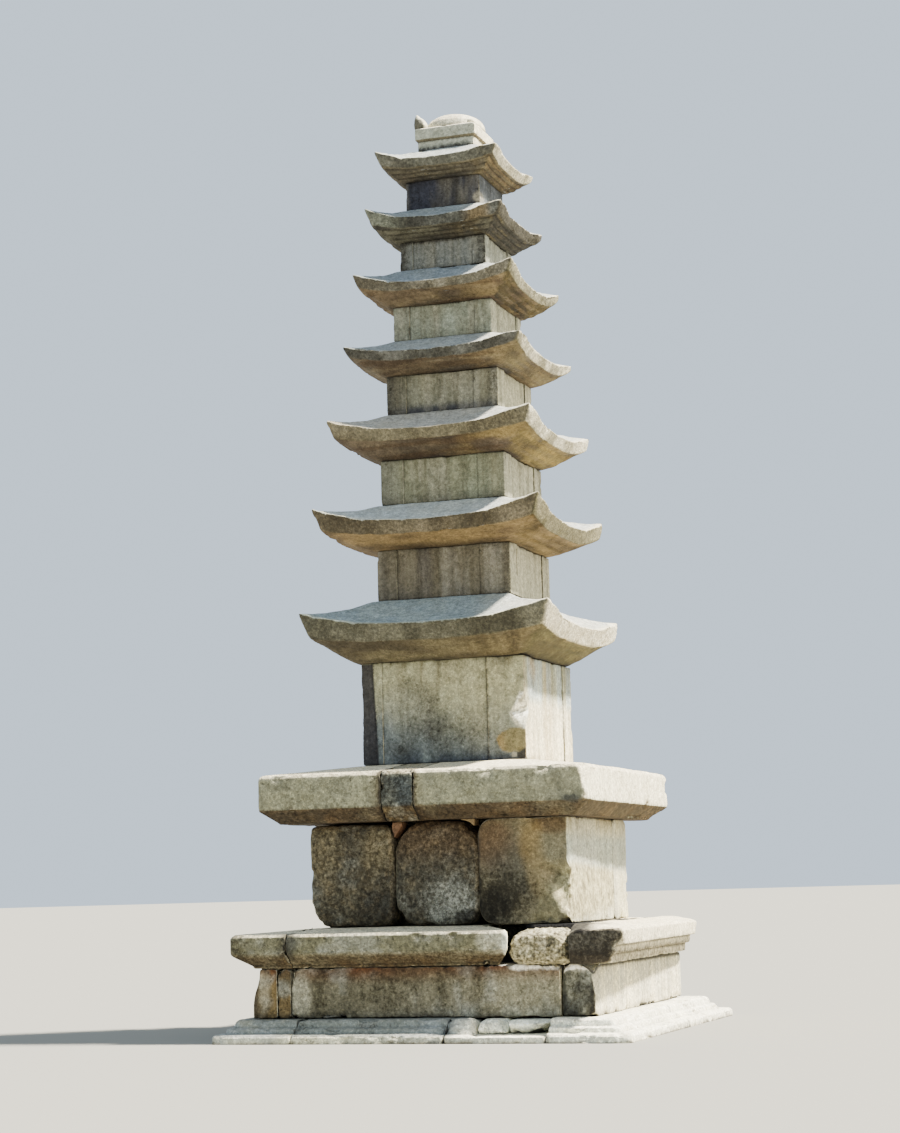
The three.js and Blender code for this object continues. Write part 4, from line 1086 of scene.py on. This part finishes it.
def roof_stone(node):
    number = int(node[-1])
    roof = Roof(*ROOFS[number])
    stone, across, reach = worn_roof(node, number, roof)
    paint = Paint(stone, tone(116, 109, 86), side=tone(200, 192, 166), top=PALE_GREY, left=OLIVE, back=OLIVE)
    x, _, z = stone.co.T
    out = across.max(1) / reach
    top = paint.facing(2, 1, 0.2, 0.5)
    below = (1 - top) * fall(roof.rim - 0.012, roof.rim + 0.006, out)
    fascia = (1 - top) * (1 - below)
    front = np.clip(paint.facing(1, -1, 0.2, 0.6) + paint.facing(0, -1, 0.2, 0.6), 0, 1)
    right = paint.facing(0, 1, 0.15, 0.45)
    paint.lay(BEIGE, 0.35 * fascia, 5, 1, 0.45, 0.65)
    paint.lay(tone(72, 64, 46), 0.65 * fascia * front, (5, 5, 2.5), 2, 0.36, 0.7)
    # Painted shade: sky-blue grey on the tops.
    paint.lay(SHADE_BLUE_GREY, 0.75 * top)
    paint.lay(PALE_GREY, 0.4 * top, 5, 3)
    # Painted sunlight on the strip along the eaves' top edge.
    paint.lay(CREAM, 0.8 * top * step(0.93, 0.985, out))
    paint.lay(tone(136, 118, 80), below)
    paint.lay(tone(100, 84, 58), 0.8 * below, (1.6, 1.6, 9), 4, 0.40, 0.64)
    paint.lay(tone(72, 62, 46), (0.3 + roof.dark) * below, (3, 3, 24), 5, 0.45, 0.66)
    # Dark foot of the roof where it sits on the body: grime and painted shade.
    paint.lay(BLACK, 0.6 * fall(0, 0.035, z - stone.rest[:, 2].min()), 5, 6, 0.3, 0.6)
    paint.scale(roof.fascia, fascia * (1 - right))
    paint.scale(roof.under, below * (1 - right))
    paint.scale(roof.right_under, below * right)
    # Painted shadow of the storeys above on the left and middle of the tops.
    paint.scale(roof.top, top * fall(0.2, 0.7, x / reach))
    if number in (2, 6):
        paint.scale((0.34, 0.33, 0.26), fascia * right)
    golden = step(-0.1, 0.8, x / reach) * (1 - right) * paint.clouds((3, 3, 12), 18, 0.4, 0.6)
    paint.lay(tone(168, 140, 84), roof.gold * below * golden)
    if number in (3, 4, 5, 7):
        paint.scale((0.4, 0.4, 0.36), 0.6 * fascia * right * paint.clouds((8, 8, 6), 33, 0.42, 0.6))
    if number == 5:
        paint.scale((0.55, 0.55, 0.5), fascia * right)
    if number == 6:
        paint.lay(tone(134, 134, 114), 0.55 * fascia * (1 - right) * fall(-0.5, -0.2, x))
        warm = step(0.2, 0.35, x) * fall(0.42, 0.5, x)
        paint.lay(tone(150, 122, 78), 0.45 * fascia * (1 - right) * warm)
    if number in (3, 4, 5):
        paint.lay(tone(84, 62, 40), 0.5 * below * (1 - right), (2, 2, 30), 15, 0.5, 0.62)
    if number == 1:
        scratched = below * step(0.15, 0.4, x) * fall(0.9, 1.2, x) * paint.facing(1, -1, 0.1, 0.4)
        strokes = step(0.5, 0.62, noise(stone.co, (34, 3, 3), 91, 2))
        paint.lay(tone(74, 62, 42), 0.75 * scratched * strokes)
    if number == 6:
        paint.lay(tone(64, 60, 51), 0.88 * (below + fascia) * paint.facing(0, 1, 0.1, 0.4))
    darkest = 0.4 * roof.dark
    dark = 0.15 * top + fascia * (0.08 + darkest * front) + below * (0.05 + darkest)
    paint.marks(0.1, dark, 0.2 + 0.35 * fascia)
    return paint.finish()


# Finial

FINIAL_TONES = {"dew_basin": tone(186, 182, 160), "inverted_bowl": tone(214, 204, 176),
                "corner_horn": tone(106, 100, 84), "corner_horn_stub": CREAM}


def finial_stone(node):
    stone = Stone(node, 0.02)
    if node == "corner_horn":
        plan = stone.rest[:, :2]
        _, up = stone.shares()
        fatter = 0.75 * np.sqrt(1 - up) + 0.1
        stone.co[:, :2] += (plan - (plan.min(0) + plan.max(0)) / 2) * fatter[:, None]
    weather(stone, 3, 0.004, 0.0015, 0.004 if "horn" in node else 0.008, 5, 22)
    paint = Paint(stone, FINIAL_TONES[node], side=BLEACHED, top=tone(222, 214, 188), back=CREAM)
    if node == "dew_basin":
        foot = fall(7.215, 7.262, stone.co[:, 2]) * (1 - paint.right)
        paint.lay(BLUE_BLACK, 0.75 * foot, (9, 9, 3), 1, 0.3, 0.6)
        paint.lay(tone(96, 80, 54), 0.85 * paint.facing(2, -1, 0.2, 0.5))
        paint.dark[:] = 0.2 + 0.5 * foot
    if node == "inverted_bowl":
        paint.lay(tone(196, 184, 156), 0.6, 6, 2)
    paint.pale[:] = 0.3
    return paint.finish()


# The first start that fits a node's name says how its stone is made
MAKERS = (
    ("plinth", plinth_stone), ("lower_base", base_slab), ("rubble_core", core_piece),
    ("lower_cap_inner", core_piece), ("lower_cap_rubble", filler_stone), ("lower_cap", lower_cap_slab),
    ("upper_base_front_left", boulder), ("upper_base_front_middle", boulder),
    ("upper_base_wedge", wedge_stone), ("upper_base", big_block), ("upper_cap", upper_cap_slab),
    ("body", body_stone), ("roof", roof_stone), ("", finial_stone))

for node in sorted(frame["nodes"]):
    make = next(maker for start, maker in MAKERS if node.startswith(start))
    material = storey_dark if node == "body_7" else materials[slots[node]]
    build(make(node), material)

# Floor, light and camera

FLOOR_RADIUS = 240
SKY = (0.76, 0.90, 1.06, 1)
SUN_ACROSS = (0.97, 0.25)  # the way to the sun over the ground, for a sun on the horizon
SUN_HEIGHT = math.radians(59)
CAMERA_PLACE = (5.91, -18.2475, 1.1438)
YAW, PITCH, ROLL = (math.radians(angle) for angle in (18.309, 7.696, -1.515))
LENS = 74.99  # millimetres, on a sensor 36 wide

floor_material = bpy.data.materials.new("pale_floor")
floor_material.use_nodes = True
floor_inputs = floor_material.node_tree.nodes["Principled BSDF"].inputs
floor_inputs["Base Color"].default_value = (0.26, 0.25, 0.215, 1)
floor_inputs["Roughness"].default_value = 0.95
floor_inputs["Specular IOR Level"].default_value = 0.1
bm = bmesh.new()
bmesh.ops.create_circle(bm, cap_ends=True, segments=96, radius=FLOOR_RADIUS)
mesh = bpy.data.meshes.new("floor")
bm.to_mesh(mesh)
bm.free()
mesh.materials.append(floor_material)
floor = placed("floor", mesh)

world = bpy.data.worlds.new("studio")
bpy.context.scene.world = world
world.use_nodes = True
background = world.node_tree.nodes["Background"]
background.inputs["Color"].default_value = SKY
background.inputs["Strength"].default_value = 1.1

sun = bpy.data.lights.new("key", "SUN")
sun.energy = 25
sun.angle = math.radians(4)
sun.color = (1, 0.95, 0.86)
key = placed("key", sun)
flat = math.cos(SUN_HEIGHT)
towards = Vector((SUN_ACROSS[0] * flat, SUN_ACROSS[1] * flat, math.sin(SUN_HEIGHT)))
key.rotation_euler = towards.to_track_quat("Z", "Y").to_euler()

forward = Vector((-math.sin(YAW) * math.cos(PITCH), math.cos(YAW) * math.cos(PITCH), math.sin(PITCH)))
level = Vector((math.cos(YAW), math.sin(YAW), 0))
right = math.cos(ROLL) * level + math.sin(ROLL) * level.cross(forward)
turn = Matrix((right, right.cross(forward), -forward)).transposed()
camera_data = bpy.data.cameras.new("camera")
camera_data.sensor_width = 36
camera_data.lens = LENS
camera_data.clip_end = 600
camera = placed("camera", camera_data)
camera.matrix_world = Matrix.Translation(CAMERA_PLACE) @ turn.to_4x4()
bpy.context.scene.camera = camera
